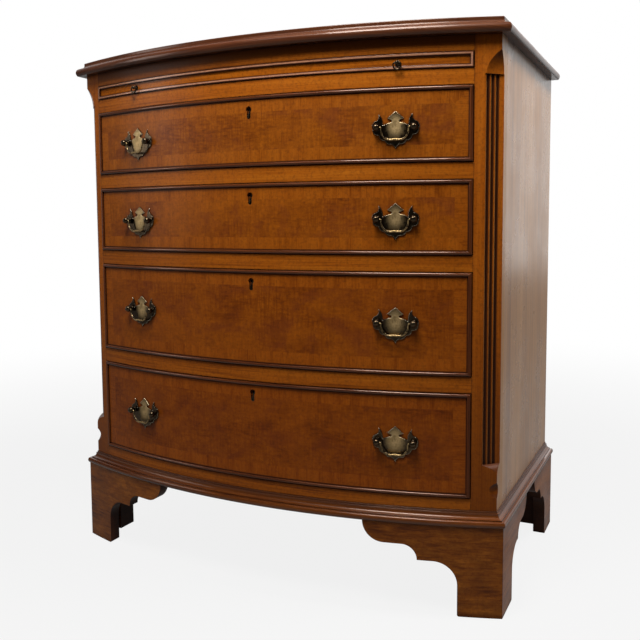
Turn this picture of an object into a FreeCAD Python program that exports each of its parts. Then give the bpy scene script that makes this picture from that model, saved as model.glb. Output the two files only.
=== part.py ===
import FreeCAD, Part
import math
import os
from FreeCAD import Vector

# Bow front chest of four drawers with a brushing slide, canted fluted corners and bracket feet.
# Millimetres. +Z is up, the bowed front looks along -Y, the origin is the middle of the footprint.

# --- case -------------------------------------------------------------------------------------
case_width = 730.0          # over the two side panels
case_depth = 380.0          # from the front corners to the back
bow = 60.0                  # how far the front swells past its corners
side_thickness = 18.0
back_thickness = 8.0
back_rebate = 9.0           # how far the back panel is let into each side
bottom_board_thickness = 13.0
bottom_board_housing = 5.0  # depth of the housings that carry the bottom board

# --- heights, from the floor up ---------------------------------------------------------------
foot_height = 132.5
base_height = 20.0
bottom_rail_height = 17.1
drawer_openings = [152.5, 148.0, 106.0, 105.0]      # bottom drawer first
divider_height = 23.3
slide_rail_height = 22.5
slide_opening = 22.5
frieze_height = 21.5
top_thickness = 22.5

# --- front frame ------------------------------------------------------------------------------
post_width = 35.0
post_depth = 32.0
rail_depth = 45.0           # measured back from the front corners
tenon_length = 15.0
tenon_thickness = 12.0
tenon_setback = 8.0         # tenon's front cheek behind the front corners
tenon_shoulder = 3.0

# --- canted corner with its stops and flutes --------------------------------------------------
cant_front = 22.0           # width that the 45 degree cut takes off the front
top_stop_drop = 20.5        # plain square corner under the top
top_stop_length = 32.0
top_stop_ledge = 1.2
bottom_stop_square = 18.5   # plain square corner above the base
dip_height = 23.0
dip_depth = 5.0
bump_flat = 9.5
bump_rise = 15.5
flute_width = 5.8
flute_depth = 2.2
flute_pitch = 7.5
flute_count = 3
flute_margin = 2.6          # plain strip before the first flute

# --- mouldings --------------------------------------------------------------------------------
top_overhang = 15.0
top_nose = 12.0             # height of the round nose
top_nose_round = 2.6        # how far the nose swells past its flat parts
top_fillet = 1.4
top_cove_foot = 8.0         # overhang at the foot of the cove
top_cove = 5.0
top_ease = 1.2
base_overhang = 15.0
base_nose = 8.5
base_nose_round = 2.0
base_fillet = 1.5
base_cove_foot = 9.0
base_cove = 6.0
base_upper_fillet = 2.5
base_upper_edge = 1.2
base_member_width = 50.0    # side members of the base frame, inside the case line
base_back_width = 50.0

# --- bracket feet -----------------------------------------------------------------------------
foot_overhang = 12.0
bracket_thickness = 20.0
foot_leg = 61.0
foot_toe = 3.0              # rounded inner corner at the floor
low_cove = 34.0
high_cove = 22.0
ovolo = 31.0
front_low_flat = 22.0
front_high_flat = 26.0
side_low_flat = 6.0
side_high_flat = 8.0
back_bracket_length = 120.0
glue_block = 34.0
glue_block_lift = 12.0

# --- runners and dust boards ------------------------------------------------------------------
runner_width = 35.0
guide_height = 14.0
dust_board_thickness = 5.0
dust_board_groove = 6.0
stop_length = 40.0
stop_depth = 14.0
stop_height = 5.0
stop_place = 120.0          # middle of each drawer stop from the centre line

# --- drawers ----------------------------------------------------------------------------------
front_gap = 1.0             # reveal all round a drawer front
running_gap = 0.3           # under the drawer sides and at the stops
guide_gap = 0.5
front_thickness = 22.0
bead_thickness = 4.8
bead_depth = 12.0
bead_proud = 3.0
bead_round = 2.0            # how far the bead's nose is rounded
mitre_toe = 0.2             # blunt tip of a mitre
lining_thickness = 10.0
drawer_back_thickness = 9.0
side_top_drop = 2.5
back_top_drop = 6.0
drawer_rear_gap = 24.0      # behind a closed drawer
joint_face = 14.0           # flat seat behind the front's ends for the drawer sides
joint_seat_width = 29.0
tail_length = 11.0
tail_slope = 1.0 / 6.0
tail_pitch = 34.0
pin_width = 10.0
panel_thickness = 5.0
panel_lift = 8.0
panel_groove = 4.5
panel_front_groove = 6.0

# --- brushing slide ---------------------------------------------------------------------------
slide_board_height = 21.4
slide_lipping = 18.0
slide_rear_gap = 34.0       # behind the closed slide
slide_front_gap = 0.8
slide_proud = 1.7           # how far the slide's bead stands in front of the bow
slide_field_depth = 2.6
slide_bead = 4.2

# --- swan neck pulls --------------------------------------------------------------------------
pull_inset = 140.0          # middle of each pull from the side of the case
pull_lifts = [2.0, 1.0, -2.0, -3.5]  # pulls above the middle of each drawer, the lowest drawer first
post_spacing = 53.0
plate_thickness = 1.6
plate_gap = 0.3
plate_hole_radius = 2.3
post_radius = 2.0
post_hole_gap = 0.3
pommel_reach = 8.6         # pivot of the bail in front of the drawer
pommel_radius = 5.2
pommel_neck = 2.6
waist_swell = 0.5           # how much the pommel's stem widens towards its collar
collar_radius = 5.0
collar_height = 1.2
nut_radius = 5.0
nut_height = 3.0
nut_gap = 0.6               # room for the front's hollow curve under the nut
post_tail = 3.0
bail_radius = 1.5
pivot_gap = 0.06
pivot_length = 4.4
pivot_end_gap = 0.3
bail_neck_gap = 0.6
bail_neck_bend = 2.4
bail_drop = 17.6
bail_bend = 13.5

# --- ring pulls of the slide ------------------------------------------------------------------
ring_inset = 137.5          # middle of each ring from the side of the case
rosette_gap = 0.2           # between a rosette and the slide's bead
rosette_thickness = 1.4
ring_knob_radius = 2.8
ring_reach = 6.0
ring_wire = 1.0
ring_width = 13.0
ring_bend = 2.5
ring_limb = 1.2
ring_drop = 1.8             # pivot below the middle of the slide
ring_post_radius = 1.4
ring_stem_depth = 14.0
ring_hole_gap = 0.1
ring_neck = 1.5
rosette_edge = 0.5
rosette_hollow = 3.6        # radius halfway up the rosette's hollow curve

# --- locks ------------------------------------------------------------------------------------
keyhole_drops = [16.5, 17.0, 17.5, 19.0]            # top of each drawer front to its keyhole, bottom first
keyhole_radius = 2.7
keyhole_slot = 2.4
keyhole_length = 11.0       # middle of the eye to the middle of the slot's round foot
escutcheon_rim = 1.7
escutcheon_depth = 3.0
escutcheon_proud = 0.2
escutcheon_gap = 0.15
lock_width = 56.0
lock_height = 38.0
lock_thickness = 8.0
lock_plate = 1.5
lock_plate_proud = 1.0
selvedge_thickness = 2.0
selvedge_setback = 1.0      # behind the cock bead

# --- sizes that follow ------------------------------------------------------------------------
half_width = case_width / 2.0
opening_half = half_width - post_width
bow_radius = (half_width ** 2 + bow ** 2) / (2.0 * bow)
back_y = (case_depth + bow + top_overhang) / 2.0
corner_y = back_y - case_depth
bow_centre_y = corner_y + bow_radius - bow
front_y = corner_y - bow
inner_half = half_width - side_thickness
base_top = foot_height + base_height
first_opening = base_top + bottom_rail_height
inside_back_y = back_y - back_thickness
drawer_length = case_depth - back_thickness - drawer_rear_gap       # measured from the front corners
slide_length = case_depth - back_thickness - slide_rear_gap
pull_place = half_width - pull_inset
ring_place = half_width - ring_inset
rosette_radius = slide_opening / 2.0 - slide_front_gap - slide_bead - ring_drop - rosette_gap
selvedge_depth = front_thickness + lock_plate_proud - bead_depth - selvedge_setback
glue_line = 0.05            # between glued pieces that meet at a mitre or a block
half_root = math.sqrt(0.5)

# --- how far the cutting shapes run past what they cut --------------------------------------------
spare = 5.0
wide_spare = 60.0
far = 1000.0
turn_spare = 1.5            # width of a turned shape against the width that it is cut to


def drawer_levels():
    """Lowest and highest Z of each drawer opening, bottom drawer first."""
    levels = []
    z = first_opening
    for height in drawer_openings:
        levels.append((z, z + height))
        z += height + divider_height
    return levels


slide_rail_low = drawer_levels()[-1][1]
slide_low = slide_rail_low + slide_rail_height
frieze_low = slide_low + slide_opening
case_top = frieze_low + frieze_height


def box(x1, x2, y1, y2, z1, z2):
    return Part.makeBox(x2 - x1, y2 - y1, z2 - z1, Vector(x1, y1, z1))


def mirrored(shape):
    return shape.mirror(Vector(0, 0, 0), Vector(1, 0, 0))


def both(shape):
    return [shape, mirrored(shape)]


def cut_all(shape, tools):
    for tool in tools:
        shape = shape.cut(tool)
    return shape


def bow_y(x, radius):
    """Y of the bowed surface of that radius at x."""
    return bow_centre_y - math.sqrt(radius ** 2 - x ** 2)


def bow_arc(x1, x2, z, radius):
    middle = (x1 + x2) / 2.0
    points = [Vector(x, bow_y(x, radius), z) for x in (x1, middle, x2)]
    return Part.Arc(*points).toShape()


def closed_face(edges):
    return Part.Face(Part.Wire(Part.__sortEdges__(edges)))


def bow_band(x1, x2, z1, z2, outer, inner):
    """Curved slab between two radii of the bow."""
    front = bow_arc(x1, x2, z1, outer)
    back = bow_arc(x1, x2, z1, inner)
    ends = [Part.makeLine(Vector(x, bow_y(x, outer), z1), Vector(x, bow_y(x, inner), z1)) for x in (x1, x2)]
    return closed_face([front, back] + ends).extrude(Vector(0, 0, z2 - z1))


def bow_board(x1, x2, z1, z2, outer, straight_y):
    """Board with a bowed front edge and a straight back edge."""
    front = bow_arc(x1, x2, z1, outer)
    back = Part.makeLine(Vector(x1, straight_y, z1), Vector(x2, straight_y, z1))
    ends = [Part.makeLine(Vector(x, bow_y(x, outer), z1), Vector(x, straight_y, z1)) for x in (x1, x2)]
    return closed_face([front, back] + ends).extrude(Vector(0, 0, z2 - z1))


def outline_edges(start, steps, place):
    """Edges through 2D steps: (u, v) is a straight run, ((u, v), (u, v)) an arc through its first point."""
    edges = []
    here = place(*start)
    for step in steps:
        if isinstance(step[0], tuple):
            there = place(*step[1])
            edges.append(Part.Arc(here, place(*step[0]), there).toShape())
        else:
            there = place(*step)
            edges.append(Part.makeLine(here, there))
        here = there
    return edges


def last_point(steps):
    step = steps[-1]
    return step[1] if isinstance(step[0], tuple) else step


def outline_face(start, steps, place):
    return closed_face(outline_edges(start, steps + [start], place))


def arc_middle(start, end, centre):
    """Point halfway along the shorter arc from start to end about centre."""
    radius = math.dist(start, centre)
    u = (start[0] + end[0]) / 2.0 - centre[0]
    v = (start[1] + end[1]) / 2.0 - centre[1]
    scale = radius / math.hypot(u, v)
    return (centre[0] + u * scale, centre[1] + v * scale)


# --- mouldings, as (overhang, height) from the underside of the board that carries them ------------

def nose_steps(inset, swell, height):
    """Round nose from (inset, 0) up to (inset, height), in two arcs that meet at its tip."""
    radius = ((height / 2.0) ** 2 + swell ** 2) / (2.0 * swell)
    centre = (inset + swell - radius, height / 2.0)
    tip = (inset + swell, height / 2.0)
    end = (inset, height)
    return [(arc_middle((inset, 0.0), tip, centre), tip), (arc_middle(tip, end, centre), end)]


def turned_slab(start, steps, z):
    """Slab whose front edge carries the profile round the bow, wider and deeper than the case."""
    end = last_point(steps)
    reach = bow_radius - case_depth - bow - wide_spare
    low = Vector(reach, 0, start[1] + z)
    high = Vector(reach, 0, end[1] + z)
    edge = outline_edges(start, steps, lambda o, v: Vector(bow_radius + o, 0, v + z))
    edge_low = Vector(bow_radius + start[0], 0, low.z)
    edge_high = Vector(bow_radius + end[0], 0, high.z)
    rest = [Part.makeLine(low, edge_low), Part.makeLine(edge_high, high), Part.makeLine(high, low)]
    spread = math.degrees(math.atan((half_width + wide_spare) / (bow_centre_y - back_y)))
    section = closed_face(edge + rest)
    section.rotate(Vector(0, 0, 0), Vector(0, 0, 1), -90.0 - spread)
    slab = section.revolve(Vector(0, 0, 0), Vector(0, 0, 1), 2.0 * spread)
    slab.translate(Vector(0, bow_centre_y, 0))
    return slab


def straight_slab(start, steps, z):
    """Slab whose two end edges carry the profile from the back to past the front."""
    end = last_point(steps)
    right = outline_edges(start, steps, lambda o, v: Vector(half_width + o, back_y, v + z))
    left = [mirrored(edge) for edge in right]
    low = Vector(half_width + start[0], back_y, start[1] + z)
    high = Vector(half_width + end[0], back_y, end[1] + z)
    rest = [Part.makeLine(Vector(-corner.x, corner.y, corner.z), corner) for corner in (low, high)]
    length = case_depth + bow + 2.0 * top_overhang
    return closed_face(right + left + rest).extrude(Vector(0, -length, 0))


def top_board():
    """Top with a round nose, a fillet and a cove under its eased upper edge."""
    inset = top_overhang - top_nose_round
    low = top_nose + top_fillet
    foot = (top_cove_foot, low)
    head = (top_cove_foot - top_cove, low + top_cove)
    ease_low = (head[0], top_thickness - top_ease)
    ease_high = (head[0] - top_ease, top_thickness)
    steps = nose_steps(inset, top_nose_round, top_nose)
    steps += [(top_cove_foot, top_nose), foot, (arc_middle(foot, head, (foot[0], head[1])), head), ease_low,
              (arc_middle(ease_low, ease_high, (ease_high[0], ease_low[1])), ease_high)]
    return turned_slab((inset, 0.0), steps, case_top).common(straight_slab((inset, 0.0), steps, case_top))


def base_profile():
    """Base moulding: a round nose, a fillet, a cove and a small upper fillet."""
    inset = base_overhang - base_nose_round
    low = base_nose + base_fillet
    foot = (base_cove_foot, low)
    head = (base_cove_foot - base_cove, low + base_cove)
    step_z = base_height - base_upper_fillet
    steps = nose_steps(inset, base_nose_round, base_nose)
    steps += [(base_cove_foot, base_nose), foot, (arc_middle(foot, head, (foot[0], head[1])), head),
              (head[0], step_z), (base_upper_edge, step_z), (base_upper_edge, base_height)]
    return (inset, 0.0), steps


def mitre_points():
    """Inner corner of the base frame and a far point on the mitre, both on the right."""
    nose_x = half_width + base_overhang
    nose_y = bow_y(nose_x, bow_radius + base_overhang)
    slope = (corner_y - nose_y) / base_overhang
    inner_x = half_width - base_member_width
    return inner_x, corner_y + slope * base_member_width, slope


def base_frame():
    """Front, left, right and back members of the moulded frame that the case stands on."""
    inner_x, inner_y, slope = mitre_points()
    start, steps = base_profile()
    reach = 200.0
    far_y = inner_y - slope * reach
    corners = [Vector(-inner_x, inner_y, 0), Vector(inner_x, inner_y, 0), Vector(inner_x + reach, far_y, 0),
               Vector(inner_x + reach, -far, 0), Vector(-inner_x - reach, -far, 0),
               Vector(-inner_x - reach, far_y, 0)]
    front_zone = Part.Face(Part.makePolygon(corners + corners[:1])).extrude(Vector(0, 0, far))
    front = turned_slab(start, steps, foot_height).common(front_zone)
    side = straight_slab(start, steps, foot_height).cut(front_zone)
    side = side.common(box(inner_x, far, -far, far, 0, far))
    back = box(-inner_x, inner_x, back_y - base_back_width, back_y, foot_height, base_top)
    return front, mirrored(side), side, back


# --- bracket feet -----------------------------------------------------------------------------

def bracket_opening(low_flat, high_flat):
    """Steps of the shaped lower edge, as (distance from the foot's outer corner, height)."""
    drop = foot_height - ovolo
    step_height = drop - high_cove
    leg_end = (foot_leg, step_height - low_cove)
    u = foot_leg + low_cove
    low_end = (u, step_height)
    cusp = (u + low_flat, step_height)
    flat_start = (cusp[0] + high_cove, drop)
    flat_end = (flat_start[0] + high_flat, drop)
    tip = (flat_end[0] + ovolo, foot_height)
    return [leg_end, (arc_middle(leg_end, low_end, (low_end[0], leg_end[1])), low_end), cusp,
            (arc_middle(cusp, flat_start, (flat_start[0], cusp[1])), flat_start), flat_end,
            (arc_middle(flat_end, tip, (flat_end[0], foot_height)), tip)]


def bracket_length(low_flat, high_flat):
    return foot_leg + low_cove + low_flat + high_cove + high_flat + ovolo


def bracket_shape(low_flat, high_flat, place, sweep):
    """Solid with a bracket's outline, seen along sweep."""
    flat_end = (foot_leg - foot_toe, 0.0)
    toe_end = (foot_leg, foot_toe)
    steps = [flat_end, (arc_middle(flat_end, toe_end, (flat_end[0], toe_end[1])), toe_end)]
    steps += bracket_opening(low_flat, high_flat) + [(0.0, foot_height)]
    return outline_face((0.0, 0.0), steps, place).extrude(sweep)


def foot_corner():
    """Outer corner of the right front foot, on plan."""
    x = half_width + foot_overhang
    return x, bow_y(x, bow_radius + foot_overhang)


def front_foot():
    """Front bracket, side bracket and glue block of the right front foot."""
    outer_x, outer_y = foot_corner()
    inner_x = outer_x - bracket_thickness
    outer = bow_radius + foot_overhang
    inner = outer - bracket_thickness
    inner_y = bow_y(inner_x, inner)
    slope = (inner_y - outer_y) / bracket_thickness
    run = slope * wide_spare
    mitre = [Vector(inner_x - wide_spare, inner_y + run, 0), Vector(outer_x + wide_spare, outer_y - run, 0),
             Vector(outer_x + wide_spare, far, 0), Vector(inner_x - wide_spare, far, 0)]
    behind = Part.Face(Part.makePolygon(mitre + mitre[:1])).extrude(Vector(0, 0, foot_height))
    length = bracket_length(front_low_flat, front_high_flat)
    strip = bow_band(outer_x - length - spare, outer_x, 0, foot_height, outer, inner)
    seen = bracket_shape(front_low_flat, front_high_flat, lambda u, v: Vector(outer_x - u, -far, v),
                         Vector(0, 2 * far, 0))
    behind.translate(Vector(0, -glue_line, 0))
    front = strip.common(seen).cut(behind)
    behind.translate(Vector(0, glue_line, 0))
    side_run = bracket_length(side_low_flat, side_high_flat)
    slab = box(inner_x, outer_x, outer_y, outer_y + side_run, 0, foot_height)
    seen = bracket_shape(side_low_flat, side_high_flat, lambda u, v: Vector(-far, outer_y + u, v),
                         Vector(2 * far, 0, 0))
    side = slab.common(seen).common(behind)
    block_x = inner_x - glue_line
    block_y = inner_y + running_gap
    block = box(block_x - glue_block, block_x, block_y, block_y + glue_block, glue_block_lift, foot_height)
    return [front, side, block]


def back_foot():
    """Side bracket, plain back bracket and glue block of the right back foot."""
    outer_x = half_width + foot_overhang
    inner_x = outer_x - bracket_thickness
    side_run = bracket_length(side_low_flat, side_high_flat)
    slab = box(inner_x, outer_x, back_y - side_run, back_y, 0, foot_height)
    seen = bracket_shape(side_low_flat, side_high_flat, lambda u, v: Vector(-far, back_y - u, v),
                         Vector(2 * far, 0, 0))
    side = slab.common(seen)
    sweep = back_bracket_length - foot_leg
    low = foot_height - sweep
    end = (back_bracket_length, foot_height)
    butt = bracket_thickness + glue_line
    steps = [(foot_leg, 0.0), (foot_leg, low), (arc_middle((foot_leg, low), end, (end[0], low)), end),
             (butt, foot_height)]
    back_front_y = back_y - bracket_thickness
    back = outline_face((butt, 0.0), steps, lambda u, v: Vector(outer_x - u, back_front_y, v))
    back = back.extrude(Vector(0, bracket_thickness, 0))
    block_x = inner_x - glue_line
    block_y = back_front_y - glue_line
    block = box(block_x - glue_block, block_x, block_y - glue_block, block_y, glue_block_lift, foot_height)
    return [side, back, block]


# --- corner posts -----------------------------------------------------------------------------

def cant_frame():
    """Depth of the 45 degree face behind the corner, and the face's run from its front edge."""
    x = half_width - cant_front
    dx = x - half_width
    dy = bow_y(x, bow_radius) - corner_y
    return (dy - dx) * half_root, (dx + dy) * half_root


def cant_place(depth, z, along=0.0):
    """Point at a depth behind the right corner, square to the cant, and along it."""
    return Vector(half_width + (along - depth) * half_root, corner_y + (along + depth) * half_root, z)


def cant_cutters():
    depth, front_edge = cant_frame()
    sweep = cant_place(0, 0, wide_spare) - cant_place(0, 0, -wide_spare)
    outside = -2.0 * spare
    stop_high = case_top - top_stop_drop
    ledge = stop_high - top_stop_length
    scoop = depth - top_stop_ledge
    dip_low = base_top + bottom_stop_square
    bump_low = dip_low + dip_height + bump_flat
    bump_high = bump_low + bump_rise
    scoop_radius = (scoop ** 2 + top_stop_length ** 2) / (2.0 * scoop)
    bump_radius = (depth ** 2 + bump_rise ** 2) / (2.0 * depth)
    scoop_middle = arc_middle((0.0, stop_high), (scoop, ledge), (scoop - scoop_radius, ledge))
    bump_middle = arc_middle((depth, bump_high), (0.0, bump_low), (bump_radius, bump_low))
    steps = [(0.0, stop_high), (scoop_middle, (scoop, ledge)), (depth, ledge), (depth, bump_high),
             (bump_middle, (0.0, bump_low)), (outside, bump_low)]
    face = outline_face((outside, stop_high), steps, lambda d, z: cant_place(d, z, -wide_spare))
    cutters = [face.extrude(sweep)]
    dip_radius = ((dip_height / 2.0) ** 2 + dip_depth ** 2) / (2.0 * dip_depth)
    start = cant_place(dip_depth - dip_radius, dip_low + dip_height / 2.0, -wide_spare)
    cutters.append(Part.makeCylinder(dip_radius, 2.0 * wide_spare, start, sweep))
    flute_radius = ((flute_width / 2.0) ** 2 + flute_depth ** 2) / (2.0 * flute_depth)
    for i in range(flute_count):
        along = front_edge + flute_margin + flute_width / 2.0 + i * flute_pitch
        foot = cant_place(depth + flute_depth - flute_radius, bump_high, along)
        cutters.append(Part.makeCylinder(flute_radius, ledge - bump_high, foot, Vector(0, 0, 1)))
    return cutters


def rail_levels():
    """Lowest and highest Z of every front rail, by name."""
    levels = drawer_levels()
    rails = {"bottom_rail": (base_top, first_opening)}
    for i in range(len(levels) - 1):
        rails["divider_rail_%d" % (len(levels) - 1 - i)] = (levels[i][1], levels[i + 1][0])
    rails["slide_rail"] = (slide_rail_low, slide_low)
    rails["frieze_rail"] = (frieze_low, case_top)
    return rails


def tenon(z1, z2):
    front = corner_y + tenon_setback
    return box(opening_half, opening_half + tenon_length, front, front + tenon_thickness,
               z1 + tenon_shoulder, z2 - tenon_shoulder)


def corner_post():
    post = bow_board(opening_half, half_width, base_top, case_top, bow_radius, corner_y + post_depth)
    post = cut_all(post, cant_cutters())
    return cut_all(post, [tenon(*level) for level in rail_levels().values()])


def rail(z1, z2):
    body = bow_board(-opening_half, opening_half, z1, z2, bow_radius, corner_y + rail_depth)
    for end in both(tenon(z1, z2)):
        body = body.fuse(end)
    return body.removeSplitter()


# --- case -------------------------------------------------------------------------------------

def bottom_board(housing):
    reach = inner_half + housing
    return box(-reach, reach, corner_y + rail_depth, inside_back_y,
               first_opening - bottom_board_thickness, first_opening)


def side_panel():
    panel = box(inner_half, half_width, corner_y + post_depth, back_y, base_top, case_top)
    panel = panel.cut(box(inner_half, inner_half + back_rebate, inside_back_y, back_y, base_top, case_top))
    return panel.cut(bottom_board(bottom_board_housing))


def back_panel():
    reach = inner_half + back_rebate
    return box(-reach, reach, inside_back_y, back_y, base_top, case_top)


def dust_board(z1, z2):
    middle = (z1 + z2) / 2.0
    reach = inner_half - runner_width + dust_board_groove
    return box(-reach, reach, corner_y + rail_depth - dust_board_groove, inside_back_y,
               middle - dust_board_thickness / 2.0, middle + dust_board_thickness / 2.0)


def dusted_rails():
    return [name for name in rail_levels() if name.startswith("divider") or name == "slide_rail"]


def runner(z1, z2):
    return box(inner_half - runner_width, inner_half, corner_y + rail_depth, inside_back_y, z1, z2)


def guide(z1, height):
    return box(opening_half + guide_gap - front_gap, inner_half, corner_y + post_depth, inside_back_y,
               z1, z1 + height)


def runners():
    """Runners under each drawer, which are the kickers of the one below, with the guides beside them."""
    solids = []
    for name, level in rail_levels().items():
        if name == "bottom_rail":
            continue
        strip = runner(*level)
        if name in dusted_rails():
            strip = strip.cut(dust_board(*level))
        solids += both(strip)
    for low, high in drawer_levels():
        solids += both(guide(low, guide_height))
    solids += both(guide(slide_low, slide_opening))
    return solids


def drawer_stops():
    edge = stop_place + stop_length / 2.0
    face = bow_y(edge, bow_radius - front_thickness) + running_gap
    solids = []
    for low, high in drawer_levels():
        solids += both(box(edge - stop_length, edge, face, face + stop_depth, low, low + stop_height))
    return solids


# --- drawers ----------------------------------------------------------------------------------

def drawer_half():
    return opening_half - front_gap


def tails(z1, z2, root_y, tip_y):
    """Dovetails of a drawer side between two heights, from their root to their tip."""
    inner = drawer_half() - lining_thickness
    count = max(2, int((z2 - z1) / tail_pitch))
    pitch = (z2 - z1) / count
    flare = abs(tip_y - root_y) * tail_slope
    solids = []
    for i in range(count):
        low = z1 + i * pitch + pin_width / 2.0
        high = z1 + (i + 1) * pitch - pin_width / 2.0
        points = [Vector(inner, root_y, low + flare), Vector(inner, tip_y, low),
                  Vector(inner, tip_y, high), Vector(inner, root_y, high - flare)]
        section = Part.Face(Part.makePolygon(points + points[:1]))
        solids.append(section.extrude(Vector(lining_thickness, 0, 0)))
    return solids


def front_tails(low, high):
    seat = corner_y + joint_face
    return tails(low + front_gap, high - side_top_drop, seat, seat - tail_length)


def back_tails(low, high):
    end = corner_y + drawer_length
    return tails(low + panel_lift + panel_thickness, high - back_top_drop, end - drawer_back_thickness, end)


def panel(low, reach, front_radius):
    z = low + panel_lift
    return bow_board(-reach, reach, z, z + panel_thickness, front_radius, corner_y + drawer_length)


def drawer_bottom(low):
    reach = drawer_half() - lining_thickness + panel_groove
    return panel(low, reach, bow_radius - front_thickness + panel_front_groove)


def bead_window(low, high, depth_radius, swell):
    """Field of a drawer front inside its cock bead."""
    reach = drawer_half() - bead_thickness
    return bow_band(-reach, reach, low + front_gap + bead_thickness, high - front_gap - bead_thickness,
                    bow_radius + swell, depth_radius)


def drawer_front(low, high, key_z, pull_z):
    half = drawer_half()
    z1 = low + front_gap
    z2 = high - front_gap
    rebate = bow_radius - bead_depth
    inner = bow_radius - front_thickness
    body = bow_band(-half, half, z1, z2, rebate, inner)
    seat = bow_board(half - joint_seat_width, half, z1, z2, rebate, corner_y + joint_face)
    for piece in [bead_window(low, high, rebate, 0.0)] + both(seat):
        body = body.fuse(piece)
    body = body.removeSplitter()
    for tail in front_tails(low, high):
        body = cut_all(body, both(tail))
    reach = drawer_half() - lining_thickness + panel_groove
    body = body.cut(panel(low, reach, inner + panel_front_groove + running_gap))
    body = cut_all(body, [lock_case(z2)] + escutcheon_seat(key_z))
    for x in (pull_place, -pull_place):
        body = cut_all(body, post_holes(x, pull_z))
    return body


def drawer_side(low, high):
    half = drawer_half()
    start = corner_y + joint_face
    end = corner_y + drawer_length
    side = box(half - lining_thickness, half, start, end - drawer_back_thickness, low + running_gap,
               high - side_top_drop)
    for tail in front_tails(low, high) + back_tails(low, high):
        side = side.fuse(tail)
    side = side.removeSplitter()
    groove = box(0, half - lining_thickness + panel_groove, -far, end, low + panel_lift,
                 low + panel_lift + panel_thickness)
    return side.cut(groove)


def drawer_back(low, high):
    half = drawer_half()
    end = corner_y + drawer_length
    board = box(-half, half, end - drawer_back_thickness, end, low + panel_lift + panel_thickness,
                high - back_top_drop)
    for tail in back_tails(low, high):
        board = cut_all(board, both(tail))
    return board


def seen_from_front(corners):
    """Prism through the whole chest with that outline, as (x, height) from the front."""
    points = [Vector(x, -far, z) for x, z in corners]
    return Part.Face(Part.makePolygon(points + points[:1])).extrude(Vector(0, 2 * far, 0))


def level_bead(z_outer, inward, back_radius):
    """Bead that follows the bow, from its outer edge inwards up (1) or down (-1), mitred at both ends."""
    half = drawer_half() - glue_line - mitre_toe
    low = min(z_outer, z_outer + inward * bead_thickness)
    straight = bead_proud - bead_round
    back = back_radius - bow_radius
    steps = nose_steps(straight, bead_round, bead_thickness) + [(back, bead_thickness), (back, 0.0)]
    face = outline_face((straight, 0.0), steps, lambda o, v: Vector(bow_radius + o, 0, low + v))
    spread = turn_spare * math.degrees(math.asin(half / bow_radius))
    face.rotate(Vector(0, 0, 0), Vector(0, 0, 1), -90.0 - spread)
    ring = face.revolve(Vector(0, 0, 0), Vector(0, 0, 1), 2.0 * spread)
    ring.translate(Vector(0, bow_centre_y, 0))
    z_toe = z_outer + inward * mitre_toe
    z_inner = z_outer + inward * bead_thickness
    short = half + mitre_toe - bead_thickness
    return ring.common(seen_from_front([(-half, z_outer), (half, z_outer), (half, z_toe), (short, z_inner),
                                        (-short, z_inner), (-half, z_toe)]))


def upright_bead(z1, z2, back_radius):
    """Bead up the right end of a drawer front, with its round nose square to the bow and mitred ends."""
    half = drawer_half()
    inner = half - bead_thickness
    straight = bead_proud - bead_round
    turn = math.asin((half + inner) / 2.0 / bow_radius)
    normal = Vector(math.sin(turn), -math.cos(turn), 0)
    seat_out = Vector(half, bow_y(half, bow_radius) - straight, z1)
    seat_in = Vector(inner, bow_y(inner, bow_radius) - straight, z1)
    tip = (seat_out + seat_in) * 0.5 + normal * bead_round
    back_out = Vector(half, bow_y(half, back_radius), z1)
    back_in = Vector(inner, bow_y(inner, back_radius), z1)
    edges = [Part.Arc(seat_in, tip, seat_out).toShape(), Part.makeLine(seat_out, back_out),
             Part.makeLine(back_out, back_in), Part.makeLine(back_in, seat_in)]
    bar = closed_face(edges).extrude(Vector(0, 0, z2 - z1))
    return bar.common(seen_from_front([(half, z1), (half, z2), (inner, z2 - bead_thickness),
                                       (inner, z1 + bead_thickness)]))


def cock_bead(low, high):
    """Four mitred beads round a drawer front."""
    z1 = low + front_gap
    z2 = high - front_gap
    back_radius = bow_radius - bead_depth + running_gap
    beads = [level_bead(z1, 1, back_radius), level_bead(z2, -1, back_radius)]
    return beads + both(upright_bead(z1, z2, back_radius))


# --- locks ------------------------------------------------------------------------------------

def keyhole_face(grow, y, z):
    """Keyhole outline: a round eye over a slot with a round foot."""
    radius = keyhole_radius + grow
    slot = keyhole_slot / 2.0 + grow
    join = -math.sqrt(radius ** 2 - slot ** 2)
    steps = [((0.0, radius), (slot, join)), (slot, -keyhole_length),
             ((0.0, -keyhole_length - slot), (-slot, -keyhole_length))]
    return outline_face((-slot, join), steps, lambda u, v: Vector(u, y, z + v))


def lock_case(top):
    """Lock with its case let into the back of the front and its selvedge into the top edge."""
    half = lock_width / 2.0
    back = front_y + front_thickness + lock_plate_proud
    case = box(-half, half, back - lock_thickness, back, top - lock_height, top)
    selvedge = box(-half, half, back - selvedge_depth, back, top - selvedge_thickness, top)
    return case.fuse(selvedge).removeSplitter()


def escutcheon_seat(key_z):
    """Room in a drawer front for the escutcheon and the key."""
    seat = keyhole_face(escutcheon_rim + escutcheon_gap, front_y - spare, key_z)
    seat_depth = escutcheon_depth - escutcheon_proud + escutcheon_gap
    key_way = keyhole_face(0.0, front_y - spare, key_z)
    return [seat.extrude(Vector(0, spare + seat_depth, 0)), key_way.extrude(Vector(0, front_thickness, 0))]


def lock(top, key_z):
    back = front_y + front_thickness + lock_plate_proud
    key_way = keyhole_face(0.0, back - lock_thickness, key_z)
    return lock_case(top).cut(key_way.extrude(Vector(0, lock_thickness - lock_plate, 0)))


def escutcheon(key_z):
    rim = keyhole_face(escutcheon_rim, front_y - escutcheon_proud, key_z)
    hole = keyhole_face(0.0, front_y - escutcheon_proud, key_z)
    return rim.cut(hole).extrude(Vector(0, escutcheon_depth, 0))


# --- pulls, modelled at the origin with the drawer's surface at y = 0 and then set on the bow -----

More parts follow.
